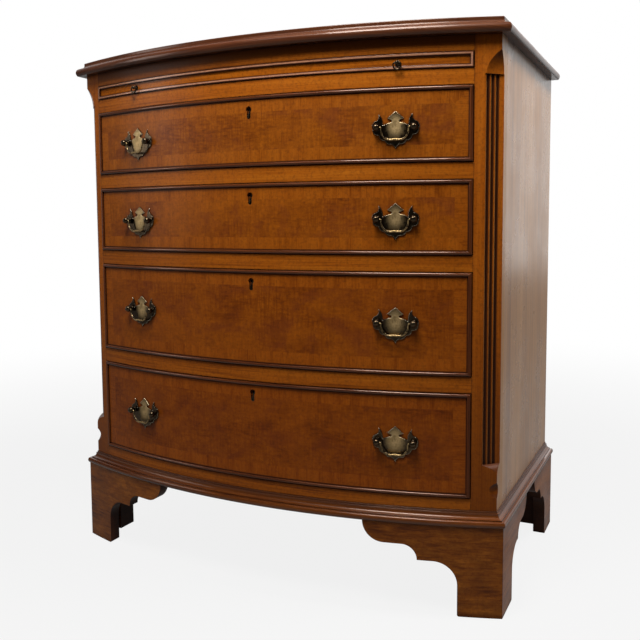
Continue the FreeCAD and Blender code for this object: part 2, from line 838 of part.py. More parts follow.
def on_bow(shape, x, z):
    placed = shape.copy()
    turn = math.degrees(math.asin(x / bow_radius))
    placed.rotate(Vector(0, 0, 0), Vector(0, 0, 1), turn)
    placed.translate(Vector(x, bow_y(x, bow_radius), z))
    return placed


def post_holes(x, z):
    holes = []
    for u in (-post_spacing / 2.0, post_spacing / 2.0):
        hole = Part.makeCylinder(post_radius + post_hole_gap, front_thickness + 2.0 * spare,
                                 Vector(u, -spare, 0), Vector(0, 1, 0))
        holes.append(on_bow(hole, x, z))
    return holes


def back_plate():
    """Batwing back plate: a crown over two pierced eyes, spread wings and a pointed skirt."""
    y = -plate_gap
    right = [(11.8, 12.8), (7.8, 10.9), ((5.2, 9.0), (7.6, 7.1)), ((12.4, 5.8), (18.4, 3.2)),
             ((19.2, 11.8), (24.4, 19.4)), ((25.0, 12.0), (30.0, 8.6)), ((33.4, 4.4), (32.8, -1.6)),
             ((30.4, -8.4), (24.0, -10.2)), ((21.6, -15.8), (15.2, -17.8)), ((11.6, -22.4), (6.0, -23.0)),
             ((2.8, -25.2), (0.0, -29.0))]
    place = lambda u, v: Vector(u, y, v)
    half = outline_edges((0.0, 22.6), right, place)
    flip = [edge.mirror(Vector(0, 0, 0), Vector(1, 0, 0)) for edge in half]
    plate = closed_face(half + flip).extrude(Vector(0, -plate_thickness, 0))
    for u in (-post_spacing / 2.0, post_spacing / 2.0):
        hole = Part.makeCylinder(plate_hole_radius, 2.0 * spare, Vector(u, -spare, 0), Vector(0, 1, 0))
        plate = plate.cut(hole)
    return plate


def turned(steps, start):
    """Solid of revolution about the Y axis from (radius, reach outwards) steps."""
    edges = outline_edges(start, steps, lambda r, w: Vector(r, -w, 0))
    first = Vector(start[0], -start[1], 0)
    end = last_point(steps)
    last = Vector(end[0], -end[1], 0)
    ends = []
    if first.x > 0:
        ends.append(Part.makeLine(Vector(0, first.y, 0), first))
    if last.x > 0:
        ends.append(Part.makeLine(last, Vector(0, last.y, 0)))
    ends.append(Part.makeLine(Vector(0, last.y, 0), Vector(0, first.y, 0)))
    return closed_face(edges + ends).revolve(Vector(0, 0, 0), Vector(0, 1, 0), 360.0)


def pommel_post(u):
    """Threaded post with its collar and pommel, bored for the bail, and the nut behind the front."""
    face = plate_gap + plate_thickness
    ball = pommel_reach
    ball_start = ball - math.sqrt(pommel_radius ** 2 - pommel_neck ** 2)
    collar_top = face + collar_height
    waist = (collar_top + ball_start) / 2.0
    tail = front_thickness + nut_gap + nut_height + post_tail
    steps = [(post_radius, face), (collar_radius, face), (collar_radius, collar_top),
             ((pommel_neck + waist_swell, waist), (pommel_neck, ball_start)),
             ((pommel_radius, ball), (0.0, ball + pommel_radius))]
    post = turned(steps, (post_radius, -tail))
    inward = -1.0 if u > 0 else 1.0
    bore = Part.makeCylinder(bail_radius + pivot_gap, pommel_radius + pivot_length / 2.0,
                             Vector(-inward * pivot_length / 2.0, -ball, 0), Vector(inward, 0, 0))
    post = post.cut(bore)
    nut = Part.makeCylinder(nut_radius, nut_height, Vector(0, front_thickness + nut_gap, 0), Vector(0, 1, 0))
    nut = nut.cut(Part.makeCylinder(post_radius, tail, Vector(0, 0, 0), Vector(0, 1, 0)))
    for solid in (post, nut):
        solid.translate(Vector(u, 0, 0))
    return [post, nut]


def round_bar(start, steps, reach, radius):
    """Round bar of that radius along straight runs and arcs, in a plane that far in front of the wood."""
    runs = []
    for edge in outline_edges(start, steps, lambda u, v: Vector(u, -reach, v)):
        first = edge.FirstParameter
        section = Part.Face(Part.Wire(Part.makeCircle(radius, edge.valueAt(first), edge.tangentAt(first))))
        if isinstance(edge.Curve, Part.Circle):
            sweep = math.degrees(edge.LastParameter - first)
            runs.append(section.revolve(edge.Curve.Center, edge.Curve.Axis, sweep))
        else:
            runs.append(section.extrude(edge.valueAt(edge.LastParameter) - edge.valueAt(first)))
    return runs[0].multiFuse(runs[1:]).removeSplitter()


def bail():
    """Swan neck bail: two pivots turned in to the pommels, and a drop between them."""
    pin = post_spacing / 2.0 + pivot_length / 2.0 - pivot_end_gap
    neck = post_spacing / 2.0 - pommel_radius - bail_neck_gap - bail_radius
    shoulder = (neck + bail_neck_bend, 0.0)
    limb = (neck, -bail_neck_bend)
    knee = (neck, bail_bend - bail_drop)
    foot = (neck - bail_bend, -bail_drop)
    right = [shoulder, (arc_middle(shoulder, limb, (shoulder[0], limb[1])), limb), knee,
             (arc_middle(knee, foot, (foot[0], knee[1])), foot)]
    flip = [(-foot[0], foot[1]), (arc_middle((-foot[0], foot[1]), (-knee[0], knee[1]), (-foot[0], knee[1])),
                                  (-knee[0], knee[1])), (-limb[0], limb[1]),
            (arc_middle((-limb[0], limb[1]), (-shoulder[0], shoulder[1]), (-shoulder[0], limb[1])),
             (-shoulder[0], shoulder[1])), (-pin, 0.0)]
    return round_bar((pin, 0.0), right + flip, pommel_reach, bail_radius)


def pulls(z):
    solids = []
    for x in (pull_place, -pull_place):
        pieces = [back_plate()]
        for u in (-post_spacing / 2.0, post_spacing / 2.0):
            pieces += pommel_post(u)
        solids += [on_bow(piece, x, z) for piece in pieces]
    return solids


# --- brushing slide ---------------------------------------------------------------------------

def slide_board():
    reach = opening_half - front_gap
    z1 = slide_low + running_gap
    return bow_board(-reach, reach, z1, z1 + slide_board_height, bow_radius - slide_lipping,
                     corner_y + slide_length)


def slide_front():
    """Bowed lipping of the slide, worked with a bead all round a sunk field."""
    half = opening_half - front_gap
    z1 = slide_low + slide_front_gap
    z2 = slide_low + slide_opening - slide_front_gap
    outer = bow_radius + slide_proud
    lipping = bow_band(-half, half, z1, z2, outer, bow_radius - slide_lipping)
    lipping = lipping.cut(bow_band(slide_bead - half, half - slide_bead, z1 + slide_bead, z2 - slide_bead,
                                   outer + spare, outer - slide_field_depth))
    for x in (ring_place, -ring_place):
        hole = Part.makeCylinder(ring_post_radius + ring_hole_gap, spare + ring_stem_depth + ring_hole_gap,
                                 Vector(0, -spare, 0), Vector(0, 1, 0))
        lipping = lipping.cut(on_bow(hole, x, ring_height()))
    return lipping


def slide_field():
    """How far the slide's sunk field stands in front of the bow."""
    return slide_proud - slide_field_depth


def ring_height():
    return slide_low + slide_opening / 2.0 - ring_drop


def ring_post():
    """Rosette with a bored knob, and its stem in the lipping."""
    face = slide_field() + plate_gap
    reach = face + ring_reach
    knob_start = reach - math.sqrt(ring_knob_radius ** 2 - ring_neck ** 2)
    hollow = face + (rosette_edge + rosette_thickness) / 2.0
    steps = [(ring_post_radius, face), (rosette_radius, face), (rosette_radius, face + rosette_edge),
             ((rosette_hollow, hollow), (ring_neck, face + rosette_thickness)), (ring_neck, knob_start),
             ((ring_knob_radius, reach), (0.0, reach + ring_knob_radius))]
    post = turned(steps, (ring_post_radius, -ring_stem_depth))
    bore = Part.makeCylinder(ring_wire + pivot_gap, 2.0 * spare, Vector(-spare, -reach, 0), Vector(1, 0, 0))
    return post.cut(bore)


def ring():
    """Drop ring that hangs through the knob, straight where the knob holds it."""
    reach = slide_field() + plate_gap + ring_reach
    half = ring_width / 2.0 - ring_wire
    straight = half - ring_bend
    side = (half, -ring_bend)
    low = (half, -ring_bend - ring_limb)
    flip = (-half, side[1])
    steps = [(straight, 0.0), (arc_middle((straight, 0.0), side, (straight, side[1])), side), low,
             ((0.0, low[1] - half), (-half, low[1])), flip,
             (arc_middle(flip, (-straight, 0.0), (-straight, flip[1])), (-straight, 0.0)), (0.0, 0.0)]
    return round_bar((0.0, 0.0), steps, reach, ring_wire)


# --- write every piece ------------------------------------------------------------------------

def case_parts():
    front, left, right, back = base_frame()
    parts = {"top_board": [top_board()], "back_panel": [back_panel()],
             "bottom_board": [bottom_board(bottom_board_housing)],
             "base_front": [front], "base_left": [left], "base_right": [right], "base_back": [back]}
    parts["side_right"] = [side_panel()]
    parts["corner_post_right"] = [corner_post()]
    parts["foot_front_right"] = front_foot()
    parts["foot_back_right"] = back_foot()
    for name in ("side", "corner_post", "foot_front", "foot_back"):
        parts[name + "_left"] = [mirrored(solid) for solid in parts[name + "_right"]]
    levels = rail_levels()
    for name, level in levels.items():
        body = rail(*level)
        if name in dusted_rails():
            body = body.cut(dust_board(*level))
        parts[name] = [body]
    parts["dust_boards"] = [dust_board(*levels[name]) for name in dusted_rails()]
    parts["drawer_runners"] = runners() + drawer_stops()
    return parts


def drawer_parts():
    parts = {}
    levels = drawer_levels()
    for i, (low, high) in enumerate(levels):
        name = "drawer_%d_" % (len(levels) - i)
        top = high - front_gap
        key_z = top - keyhole_drops[i]
        z = (low + high) / 2.0 + pull_lifts[i]
        parts[name + "front"] = [drawer_front(low, high, key_z, z)]
        parts[name + "cock_bead"] = cock_bead(low, high)
        parts[name + "sides"] = both(drawer_side(low, high))
        parts[name + "back"] = [drawer_back(low, high)]
        parts[name + "bottom"] = [drawer_bottom(low)]
        parts[name + "fittings"] = pulls(z) + [lock(top, key_z), escutcheon(key_z)]
        parts[name + "bail_left"] = [on_bow(bail(), -pull_place, z)]
        parts[name + "bail_right"] = [on_bow(bail(), pull_place, z)]
    return parts


def slide_parts():
    z = ring_height()
    return {"slide_board": [slide_board()], "slide_front": [slide_front()],
            "slide_ring_posts": [on_bow(ring_post(), x, z) for x in (-ring_place, ring_place)],
            "slide_ring_left": [on_bow(ring(), -ring_place, z)],
            "slide_ring_right": [on_bow(ring(), ring_place, z)]}


def main():
    os.makedirs("parts", exist_ok=True)
    parts = {}
    for group in (case_parts(), drawer_parts(), slide_parts()):
        parts.update(group)
    for name, solids in parts.items():
        shape = solids[0] if len(solids) == 1 else Part.makeCompound(solids)
        shape.exportStep("parts/%s.step" % name)


main()
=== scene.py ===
import math
import bmesh
import bpy
from mathutils import Matrix, Vector


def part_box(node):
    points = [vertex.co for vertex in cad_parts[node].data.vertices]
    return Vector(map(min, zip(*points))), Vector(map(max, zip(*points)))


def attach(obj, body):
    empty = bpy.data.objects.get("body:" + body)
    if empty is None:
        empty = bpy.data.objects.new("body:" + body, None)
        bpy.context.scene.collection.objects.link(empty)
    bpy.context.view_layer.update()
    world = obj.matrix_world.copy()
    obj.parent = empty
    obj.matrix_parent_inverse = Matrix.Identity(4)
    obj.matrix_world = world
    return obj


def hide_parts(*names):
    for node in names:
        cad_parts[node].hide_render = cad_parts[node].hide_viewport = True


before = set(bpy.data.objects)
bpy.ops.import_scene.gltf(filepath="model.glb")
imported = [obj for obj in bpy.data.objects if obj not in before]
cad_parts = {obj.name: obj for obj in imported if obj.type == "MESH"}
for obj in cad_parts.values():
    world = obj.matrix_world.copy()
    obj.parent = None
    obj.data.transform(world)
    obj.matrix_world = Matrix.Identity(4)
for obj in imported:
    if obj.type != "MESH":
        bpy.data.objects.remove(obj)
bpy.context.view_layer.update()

# the bowed front is part of one upright cylinder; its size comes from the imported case
chest = {"bow": 0.060, "drawers": 4}
drawers = {number: "drawer_%d" % number for number in range(1, chest["drawers"] + 1)}
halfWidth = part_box("side_right")[1].x
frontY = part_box("frieze_rail")[0].y
bowRadius = (halfWidth ** 2 + chest["bow"] ** 2) / (2 * chest["bow"])
bowCentreY = frontY + bowRadius
mm = 0.001
inPlace = Matrix.Identity(4)
print("frame loaded, bow radius", round(bowRadius, 4))


# a point of the front at a given reach and a given distance in front of the bow
def bowPoint(x, z, proud=0.0):
    return Vector((x, bowCentreY - math.sqrt((bowRadius + proud) ** 2 - x ** 2), z))


# the place of a fitting that lies on the bow and faces straight out of it
def onBow(x, z):
    return Matrix.Translation(bowPoint(x, z)) @ Matrix.Rotation(math.asin(x / bowRadius), 4, "Z")


# small helpers for shader trees

def addNode(tree, kind, inputs=None, **settings):
    made = tree.nodes.new("ShaderNode" + kind)
    for name, value in settings.items():
        setattr(made, name, value)
    for socket, value in (inputs or {}).items():
        if isinstance(value, bpy.types.NodeSocket):
            tree.links.new(value, made.inputs[socket])
        else:
            made.inputs[socket].default_value = value
    return made


def calc(tree, operation, a, b=0.0):
    return addNode(tree, "Math", {0: a, 1: b}, operation=operation).outputs[0]


def plus(tree, a, b):
    return calc(tree, "ADD", a, b)


def minus(tree, a, b):
    return calc(tree, "SUBTRACT", a, b)


def times(tree, a, b):
    return calc(tree, "MULTIPLY", a, b)


def larger(tree, a, b):
    return calc(tree, "MAXIMUM", a, b)


def unsigned(tree, a):
    return calc(tree, "ABSOLUTE", a)


def mixColour(tree, factor, a, b, blend="MIX"):
    return addNode(tree, "Mix", {0: factor, 6: a, 7: b}, data_type="RGBA", blend_type=blend).outputs[2]


def mixValue(tree, factor, a, b):
    return addNode(tree, "Mix", {0: factor, 2: a, 3: b}, data_type="FLOAT").outputs[0]


def rgb(colour):
    return (*colour, 1.0)


# lays one colour over another where the mask is 1, by at most "depth"
def stain(tree, colour, mask, depth, over):
    return mixColour(tree, times(tree, mask, depth), colour, rgb(over))


# a soft step from toLow at "low" to toHigh at "high"; "low" may be the larger of the two
def spread(tree, value, low, high, toLow=0.0, toHigh=1.0):
    return addNode(tree, "MapRange", {"Value": value, "From Min": low, "From Max": high, "To Min": toLow,
                                      "To Max": toHigh}, interpolation_type="SMOOTHSTEP").outputs[0]


def noise(tree, vector, scale, detail, roughness, distortion=0.0):
    return addNode(tree, "TexNoise", {"Vector": vector, "Scale": scale, "Detail": detail,
                                      "Roughness": roughness, "Distortion": distortion}).outputs["Fac"]


def combine(tree, x, y, z):
    return addNode(tree, "CombineXYZ", {0: x, 1: y, 2: z}).outputs[0]


def split(tree, vector):
    return addNode(tree, "SeparateXYZ", {0: vector}).outputs


def objectPlace(tree):
    return addNode(tree, "TexCoord").outputs["Object"]


# which way the surface itself looks, as x, y and z
def facing(tree):
    return split(tree, addNode(tree, "NewGeometry").outputs["True Normal"])


def emptyTree(owner):
    owner.use_nodes = True
    owner.node_tree.nodes.clear()
    return owner.node_tree


def newFinish(name):
    material = bpy.data.materials.new(name)
    tree = emptyTree(material)
    shader = addNode(tree, "BsdfPrincipled")
    addNode(tree, "OutputMaterial", {"Surface": shader.outputs[0]})
    return material, tree, shader, split(tree, objectPlace(tree))


# how hollows and edges are found; an edge counts from where its rounding turns the surface a little
shading = {"hollowSamples": 6, "edgeSamples": 4, "edgeRange": (0.985, 0.80)}


def crevices(tree, reach):
    return addNode(tree, "AmbientOcclusion", {"Distance": reach}, samples=shading["hollowSamples"],
                   only_local=False).outputs["AO"]


def roundedNormal(tree, radius):
    return addNode(tree, "Bevel", {"Radius": radius}, samples=shading["edgeSamples"]).outputs[0]


def edgeMask(tree, width):
    flat = addNode(tree, "NewGeometry").outputs["Normal"]
    together = addNode(tree, "VectorMath", {0: roundedNormal(tree, width), 1: flat}, operation="DOT_PRODUCT")
    return spread(tree, together.outputs["Value"], *shading["edgeRange"])


def dress(tree, shader, colour, rough, height, look):
    bump = addNode(tree, "Bump", {"Strength": look["bump"], "Distance": look["relief"], "Height": height,
                                  "Normal": roundedNormal(tree, look["edge"])})
    tree.links.new(colour, shader.inputs["Base Color"])
    tree.links.new(rough, shader.inputs["Roughness"])
    tree.links.new(bump.outputs[0], shader.inputs["Normal"])


# what all the woods share; each layer of the grain has its noise's detail, roughness and distortion
grain = {
    "streaks": (4.0, 0.6, 0.35), "broad": (3.0, 0.5, 0.8), "broadLength": 4, "broadWidth": 9,
    "pores": (1.0, 0.5, 0.0), "poreRange": (0.60, 0.70), "poreSink": 0.6,
    "ripple": (2.0, 0.55, 0.6), "rippleRange": (0.36, 0.64),
    "streakShare": 0.55, "broadShare": 0.45, "darkAt": 0.34, "midAt": 0.48, "lightAt": 0.66,
    "topRise": 1.7, "fadeTone": 0.35, "endRange": (0.90, 0.97),
}


# grain runs along "run"; "side" and "depth" cross it, all in metres
def grainLayer(tree, layer, run, side, depth, length, width):
    drawnOut = combine(tree, times(tree, run, 1 / length), times(tree, side, 1 / width),
                       times(tree, depth, 1 / length))
    return noise(tree, drawnOut, 1.0, *grain[layer])


def grainValues(tree, run, side, depth, look):
    streaks = grainLayer(tree, "streaks", run, side, depth, look["length"], look["streak"])
    broad = grainLayer(tree, "broad", run, side, depth, look["length"] * grain["broadLength"],
                       look["streak"] * grain["broadWidth"])
    pores = grainLayer(tree, "pores", run, side, depth, look["poreLength"], look["pore"])
    return streaks, broad, spread(tree, pores, *grain["poreRange"])


def ripple(tree, run, side, look):
    waves = grainLayer(tree, "ripple", run, side, 0.0, look["rippleGap"], look["rippleLength"])
    return spread(tree, waves, *grain["rippleRange"])


def grainColour(tree, values, look):
    streaks, broad, pores = values
    tone = plus(tree, times(tree, streaks, grain["streakShare"]), times(tree, broad, grain["broadShare"]))
    ramp = addNode(tree, "ValToRGB", {0: tone})
    stops = ramp.color_ramp.elements
    stops[0].position = grain["darkAt"]
    stops[0].color = rgb(look["dark"])
    stops[1].position = grain["lightAt"]
    stops[1].color = rgb(look["light"])
    middle = stops.new(grain["midAt"])
    middle.color = rgb(look["mid"])
    return stain(tree, ramp.outputs[0], pores, look["poreDepth"], look["dark"])


def grainHeight(tree, streaks, pores):
    return minus(tree, streaks, times(tree, pores, grain["poreSink"]))


# the polish on top: painted shade with some dirt in the hollows, specks, edges coloured as wear on some woods
# and as painted shade along the gaps on others, and patches rubbed smooth; reflection is also cut in the
# hollows
polish = {
    "hollowRange": (0.25, 0.95), "hollowShine": 0.15, "speckNoise": (4.0, 0.75), "speckRange": (0.44, 0.68),
    "rubbedNoise": (9.0, 4.0, 0.6), "rubbedRange": (0.3, 0.7), "smoother": 0.05, "rougher": 0.07, "ior": 1.5,
}


def polished(tree, shader, colour, height, look):
    # painted shade: ambient occlusion darkens the colour in hollows, gaps and under overhangs
    hollow = spread(tree, crevices(tree, look["dirtReach"]), *polish["hollowRange"])
    colour = stain(tree, colour, minus(tree, 1.0, hollow), look["dirt"], look["dirtColour"])
    place = objectPlace(tree)
    specks = noise(tree, place, look["speckScale"], *polish["speckNoise"])
    specks = spread(tree, specks, *polish["speckRange"])
    colour = stain(tree, colour, specks, look["specks"], look["speckColour"])
    # edge colour: real wear where it is pale, as on the oak; painted shade along the gaps where it is dark,
    # as on the rails and posts
    if look["wear"]:
        colour = stain(tree, colour, edgeMask(tree, look["wearReach"]), look["wear"], look["wornColour"])
    rubbed = noise(tree, place, *polish["rubbedNoise"])
    rough = spread(tree, rubbed, *polish["rubbedRange"], look["rough"] - polish["smoother"],
                   look["rough"] + polish["rougher"])
    dress(tree, shader, colour, rough, height, look)
    shine = mixValue(tree, hollow, look["shine"] * polish["hollowShine"], look["shine"])
    tree.links.new(shine, shader.inputs["Specular IOR Level"])
    shader.inputs["IOR"].default_value = polish["ior"]
    shader.inputs["Specular Tint"].default_value = rgb(look["shineTint"])
    shader.inputs["Coat Weight"].default_value = look["coat"]
    shader.inputs["Coat Roughness"].default_value = look["coatRough"]


mahogany = {
    "light": (0.320, 0.092, 0.009), "mid": (0.250, 0.064, 0.004), "dark": (0.140, 0.030, 0.002),
    "streak": 0.0022, "length": 0.11, "pore": 0.0004, "poreLength": 0.006, "poreDepth": 0.35,
    "rippleGap": 0.011, "rippleLength": 0.05, "rippleDepth": 0.10,
    "dirtReach": 0.012, "dirt": 0.85, "dirtColour": (0.018, 0.006, 0.004),
    "specks": 0.42, "speckScale": 240.0, "speckColour": (0.075, 0.018, 0.004),
    "fade": 0.0, "fadeFrom": 0.50, "fadeTo": 0.14,
    "edge": 0.0006, "wear": 0.0, "wearReach": 0.0016, "wornColour": (0.36, 0.15, 0.06),
    "rough": 0.33, "bump": 0.12, "relief": 0.0004,
    "shine": 0.10, "shineTint": (1.0, 0.95, 0.90), "coat": 0.0, "coatRough": 0.18,
}


def changed(look, **changes):
    return {**look, **changes}


def toned(look, light, mid, dark, **changes):
    return {**look, "light": light, "mid": mid, "dark": dark, **changes}


# the grain's way is "z" up a piece, "round" along the bow, "top" across the top board, or else "x"
def solidWood(name, look, way, hollows=None, endLook=None):
    material, tree, shader, (x, y, z) = newFinish(name)
    if way == "z":
        run, side, depth = z, plus(tree, x, y), x
    elif way == "round":
        run, side, depth = plus(tree, x, y), z, 0.0
    elif way == "top":
        run, side, depth = x, plus(tree, y, times(tree, z, grain["topRise"])), 0.0
    else:
        run, side, depth = x, z, y
    values = grainValues(tree, run, side, depth, look)
    colour = grainColour(tree, values, look)
    colour = stain(tree, colour, ripple(tree, run, side, look), look["rippleDepth"], look["dark"])
    # painted shade: darker towards one height, the posts towards the bottom and the frieze at its top under
    # the top's overhang
    if look["fade"]:
        faded = spread(tree, z, look["fadeFrom"], look["fadeTo"], 0.0, look["fade"])
        colour = mixColour(tree, faded, colour, rgb([part * grain["fadeTone"] for part in look["mid"]]))
    # painted shade from the piece's own mask, as in the flutes and on the feet
    if hollows:
        colour = mixColour(tree, hollows(tree, x, y), colour, rgb(look["dirtColour"]))
    polished(tree, shader, colour, grainHeight(tree, values[0], values[2]), look)
    if endLook:
        onEnd = spread(tree, unsigned(tree, facing(tree)[0]), *grain["endRange"])
        colour, shine = shader.inputs["Base Color"], shader.inputs["Specular IOR Level"]
        end = grainColour(tree, values, endLook)
        tree.links.new(mixColour(tree, onEnd, colour.links[0].from_socket, end), colour)
        tree.links.new(mixValue(tree, onEnd, shine.links[0].from_socket, endLook["shine"]), shine)
    return material


# the canted corner: painted shade blackens its flutes and the ledges that stop them
cant = {"front": 0.022, "clear": 0.0001, "full": 0.0010, "middle": 0.0130, "reach": 0.0108, "black": 0.93,
        "ledge": 0.72, "ledgeRange": (0.15, 0.50)}


def fluteShade(tree, x, y):
    edgeX = halfWidth - cant["front"]
    edgeY = bowCentreY - math.sqrt(bowRadius ** 2 - edgeX ** 2)
    cornerY = frontY + chest["bow"]
    root = math.sqrt(0.5)
    face = (halfWidth - edgeX + edgeY - cornerY) * root
    outward = minus(tree, halfWidth, unsigned(tree, x))
    back = minus(tree, y, cornerY)
    depth = times(tree, plus(tree, outward, back), root)
    along = times(tree, minus(tree, back, outward), root)
    sunk = spread(tree, depth, face + cant["clear"], face + cant["full"], 0.0, cant["black"])
    middle = (edgeY - cornerY - cant["front"]) * root + cant["middle"]
    fromMiddle = unsigned(tree, minus(tree, along, middle))
    inFlutes = times(tree, sunk, calc(tree, "LESS_THAN", fromMiddle, cant["reach"]))
    onLedge = spread(tree, unsigned(tree, facing(tree)[2]), *cant["ledgeRange"], 0.0, cant["ledge"])
    return larger(tree, inFlutes, onLedge)


# painted shade on the feet: faces that look to the middle, faces that look down, and the forward faces of the
# rear feet are darkened
unpolished = {"range": (-0.3, -0.7), "dark": 0.9}


def footShade(tree, x, y):
    looks = facing(tree)
    toMiddle = spread(tree, times(tree, looks[0], calc(tree, "SIGN", x)), *unpolished["range"])
    inRear = calc(tree, "GREATER_THAN", y, 0.0)
    toFront = times(tree, spread(tree, looks[1], *unpolished["range"]), inRear)
    downward = spread(tree, looks[2], *unpolished["range"])
    return times(tree, larger(tree, larger(tree, toMiddle, toFront), downward), unpolished["dark"])


# how far a point of a bowed panel lies inside its ends, its level edges and the nearest of them
def fromBorder(tree, node, x, z):
    low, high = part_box(node)
    fromEnd = minus(tree, high.x, unsigned(tree, x))
    fromEdge = minus(tree, (high.z - low.z) / 2, unsigned(tree, minus(tree, z, (low.z + high.z) / 2)))
    return fromEnd, fromEdge, calc(tree, "MINIMUM", fromEnd, fromEdge)


# drawer fronts: a mottled field inside a crossbanded border

veneer = {
    "field": toned(mahogany, (0.310, 0.084, 0.005), (0.220, 0.053, 0.003), (0.105, 0.022, 0.002),
                   streak=0.0040, length=0.016, rippleGap=0.0030, rippleLength=0.030, rippleDepth=0.50,
                   bump=0.10),
    "border": toned(mahogany, (0.325, 0.092, 0.006), (0.260, 0.065, 0.004), (0.160, 0.036, 0.002),
                    streak=0.0016, length=0.035),
    "bead": 0.0048, "borderWidth": 0.019, "line": 0.0005, "lineDepth": 0.08, "seamSoft": 0.0003,
    "tones": {1: (1.0, 1.0, 1.0), 2: (1.02, 0.99, 0.90), 3: (0.97, 0.90, 0.80), 4: (0.88, 0.77, 0.65)},
    "clouds": {"across": 9.0, "up": 14.0, "seed": 0.0, "noise": (4.0, 0.62, 0.8), "range": (0.35, 0.65),
               "depth": 0.50, "colour": (0.310, 0.084, 0.005)},
    "patches": {"across": 15.0, "up": 21.0, "seed": 4.0, "noise": (5.0, 0.65, 0.5), "range": (0.47, 0.68),
                "depth": 0.55, "colour": (0.125, 0.026, 0.008)},
    "shift": 0.37, "grime": 0.0024, "grimeFull": 0.4, "grimeDepth": 0.88,
}


def mottled(tree, colour, across, z, look):
    place = combine(tree, times(tree, across, look["across"]), look["seed"], times(tree, z, look["up"]))
    mask = spread(tree, noise(tree, place, 1.0, *look["noise"]), *look["range"])
    return stain(tree, colour, mask, look["depth"], look["colour"])


def veneeredFront(number):
    material, tree, shader, (x, y, z) = newFinish("figured_veneer_%d" % number)
    field, border = veneer["field"], veneer["border"]
    along = plus(tree, x, number * veneer["shift"])
    values = grainValues(tree, along, z, 0.0, field)
    inside = grainColour(tree, values, field)
    inside = stain(tree, inside, ripple(tree, along, z, field), field["rippleDepth"], field["dark"])
    inside = mottled(tree, inside, along, z, veneer["clouds"])
    inside = mottled(tree, inside, along, z, veneer["patches"])
    upValues = grainValues(tree, z, along, 0.0, border)
    upright = grainColour(tree, upValues, border)
    level = grainColour(tree, grainValues(tree, along, z, 0.0, border), border)
    fromEnd, fromEdge, nearest = fromBorder(tree, drawers[number] + "_front", x, z)
    seamAt = veneer["bead"] + veneer["borderWidth"]
    inBorder = spread(tree, nearest, seamAt + veneer["seamSoft"], seamAt - veneer["seamSoft"])
    band = mixColour(tree, calc(tree, "LESS_THAN", fromEnd, fromEdge), upright, level)
    colour = mixColour(tree, inBorder, inside, band)
    # each drawer's tone, darker on the lower drawers as painted shade
    colour = mixColour(tree, 1.0, colour, rgb(veneer["tones"][number]), "MULTIPLY")
    offSeam = unsigned(tree, minus(tree, nearest, seamAt))
    seam = spread(tree, offSeam, veneer["line"], 0.0, 0.0, veneer["lineDepth"])
    colour = mixColour(tree, seam, colour, rgb(field["dark"]))
    # painted shade along the inside of the cock bead
    grime = spread(tree, nearest, veneer["bead"] + veneer["grime"],
                   veneer["bead"] + veneer["grime"] * veneer["grimeFull"])
    colour = stain(tree, colour, grime, veneer["grimeDepth"], field["dirtColour"])
    streaks = mixValue(tree, inBorder, values[0], upValues[0])
    pores = mixValue(tree, inBorder, values[2], upValues[2])
    polished(tree, shader, colour, grainHeight(tree, streaks, pores), field)
    return material


# the slide's lipping: its sunk field has the rails' colour and its raised bead the cock beads' one, with a
# painted highlight along the bead's crest and painted shade in the quirk beside it

slideBead = {
    "width": 0.0042, "soft": 0.0003, "quirk": 0.0018, "quirkDepth": 0.90, "round": 0.0019,
    "shine": 0.60, "rough": 0.18, "crest": 0.0009, "crestSoft": 0.5, "crestColour": (0.62, 0.30, 0.17),
    "crestGrain": (0.0, 0.6), "crestWear": (0.4, 0.62),
}


def slideFinish(name, fieldLook, beadLook):
    material, tree, shader, (x, y, z) = newFinish(name)
    values = grainValues(tree, plus(tree, x, y), z, 0.0, fieldLook)
    fieldColour = grainColour(tree, values, fieldLook)
    beadColour = grainColour(tree, values, beadLook)
    nearest = fromBorder(tree, "slide_front", x, z)[2]
    width, crest, crestSoft = slideBead["width"], slideBead["crest"], slideBead["crestSoft"]
    onBead = spread(tree, nearest, width + slideBead["soft"], width - slideBead["soft"])
    # painted shade in the quirk beside the bead
    quirk = spread(tree, nearest, width + slideBead["quirk"], width)
    fieldColour = stain(tree, fieldColour, quirk, slideBead["quirkDepth"], beadLook["dirtColour"])
    # a painted highlight along the bead's crest, stronger where the grain is light
    offCrest = unsigned(tree, minus(tree, nearest, width / 2))
    onCrest = spread(tree, offCrest, crest * (1 + crestSoft), crest * (1 - crestSoft))
    wear = spread(tree, values[0], *slideBead["crestGrain"], *slideBead["crestWear"])
    beadColour = stain(tree, beadColour, onCrest, wear, slideBead["crestColour"])
    colour = mixColour(tree, onBead, fieldColour, beadColour)
    polished(tree, shader, colour, grainHeight(tree, values[0], values[2]),
             changed(fieldLook, shine=slideBead["shine"], rough=slideBead["rough"], edge=slideBead["round"],
                     shineTint=beadLook["shineTint"], dirtReach=beadLook["dirtReach"], wear=0.0))
    shine = shader.inputs["Specular IOR Level"]
    tree.links.new(mixValue(tree, onBead, fieldLook["shine"], shine.links[0].from_socket), shine)
    return material


brass = {
    "bright": (0.60, 0.42, 0.20), "dull": (0.26, 0.175, 0.075), "black": (0.024, 0.016, 0.012),
    "rough": 0.52, "darkRough": 0.20, "bump": 0.15, "relief": 0.0002, "edge": 0.0005,
    "edgeReach": 0.0013, "edgeGlow": 0.95, "edgeColour": (0.95, 0.82, 0.60), "edgeDull": 0.70,
    "cloudNoise": (160.0, 4.0, 0.6, 0.4), "fineNoise": (900.0, 2.0, 0.5), "cloudShare": 0.7, "fineShare": 0.3,
    "brightRange": (0.36, 0.64), "tarnishRange": (0.62, 0.72), "patinaShift": 0.4,
    "dirtReach": 0.004, "dirt": 0.92, "hollowRange": (0.35, 0.9),
}


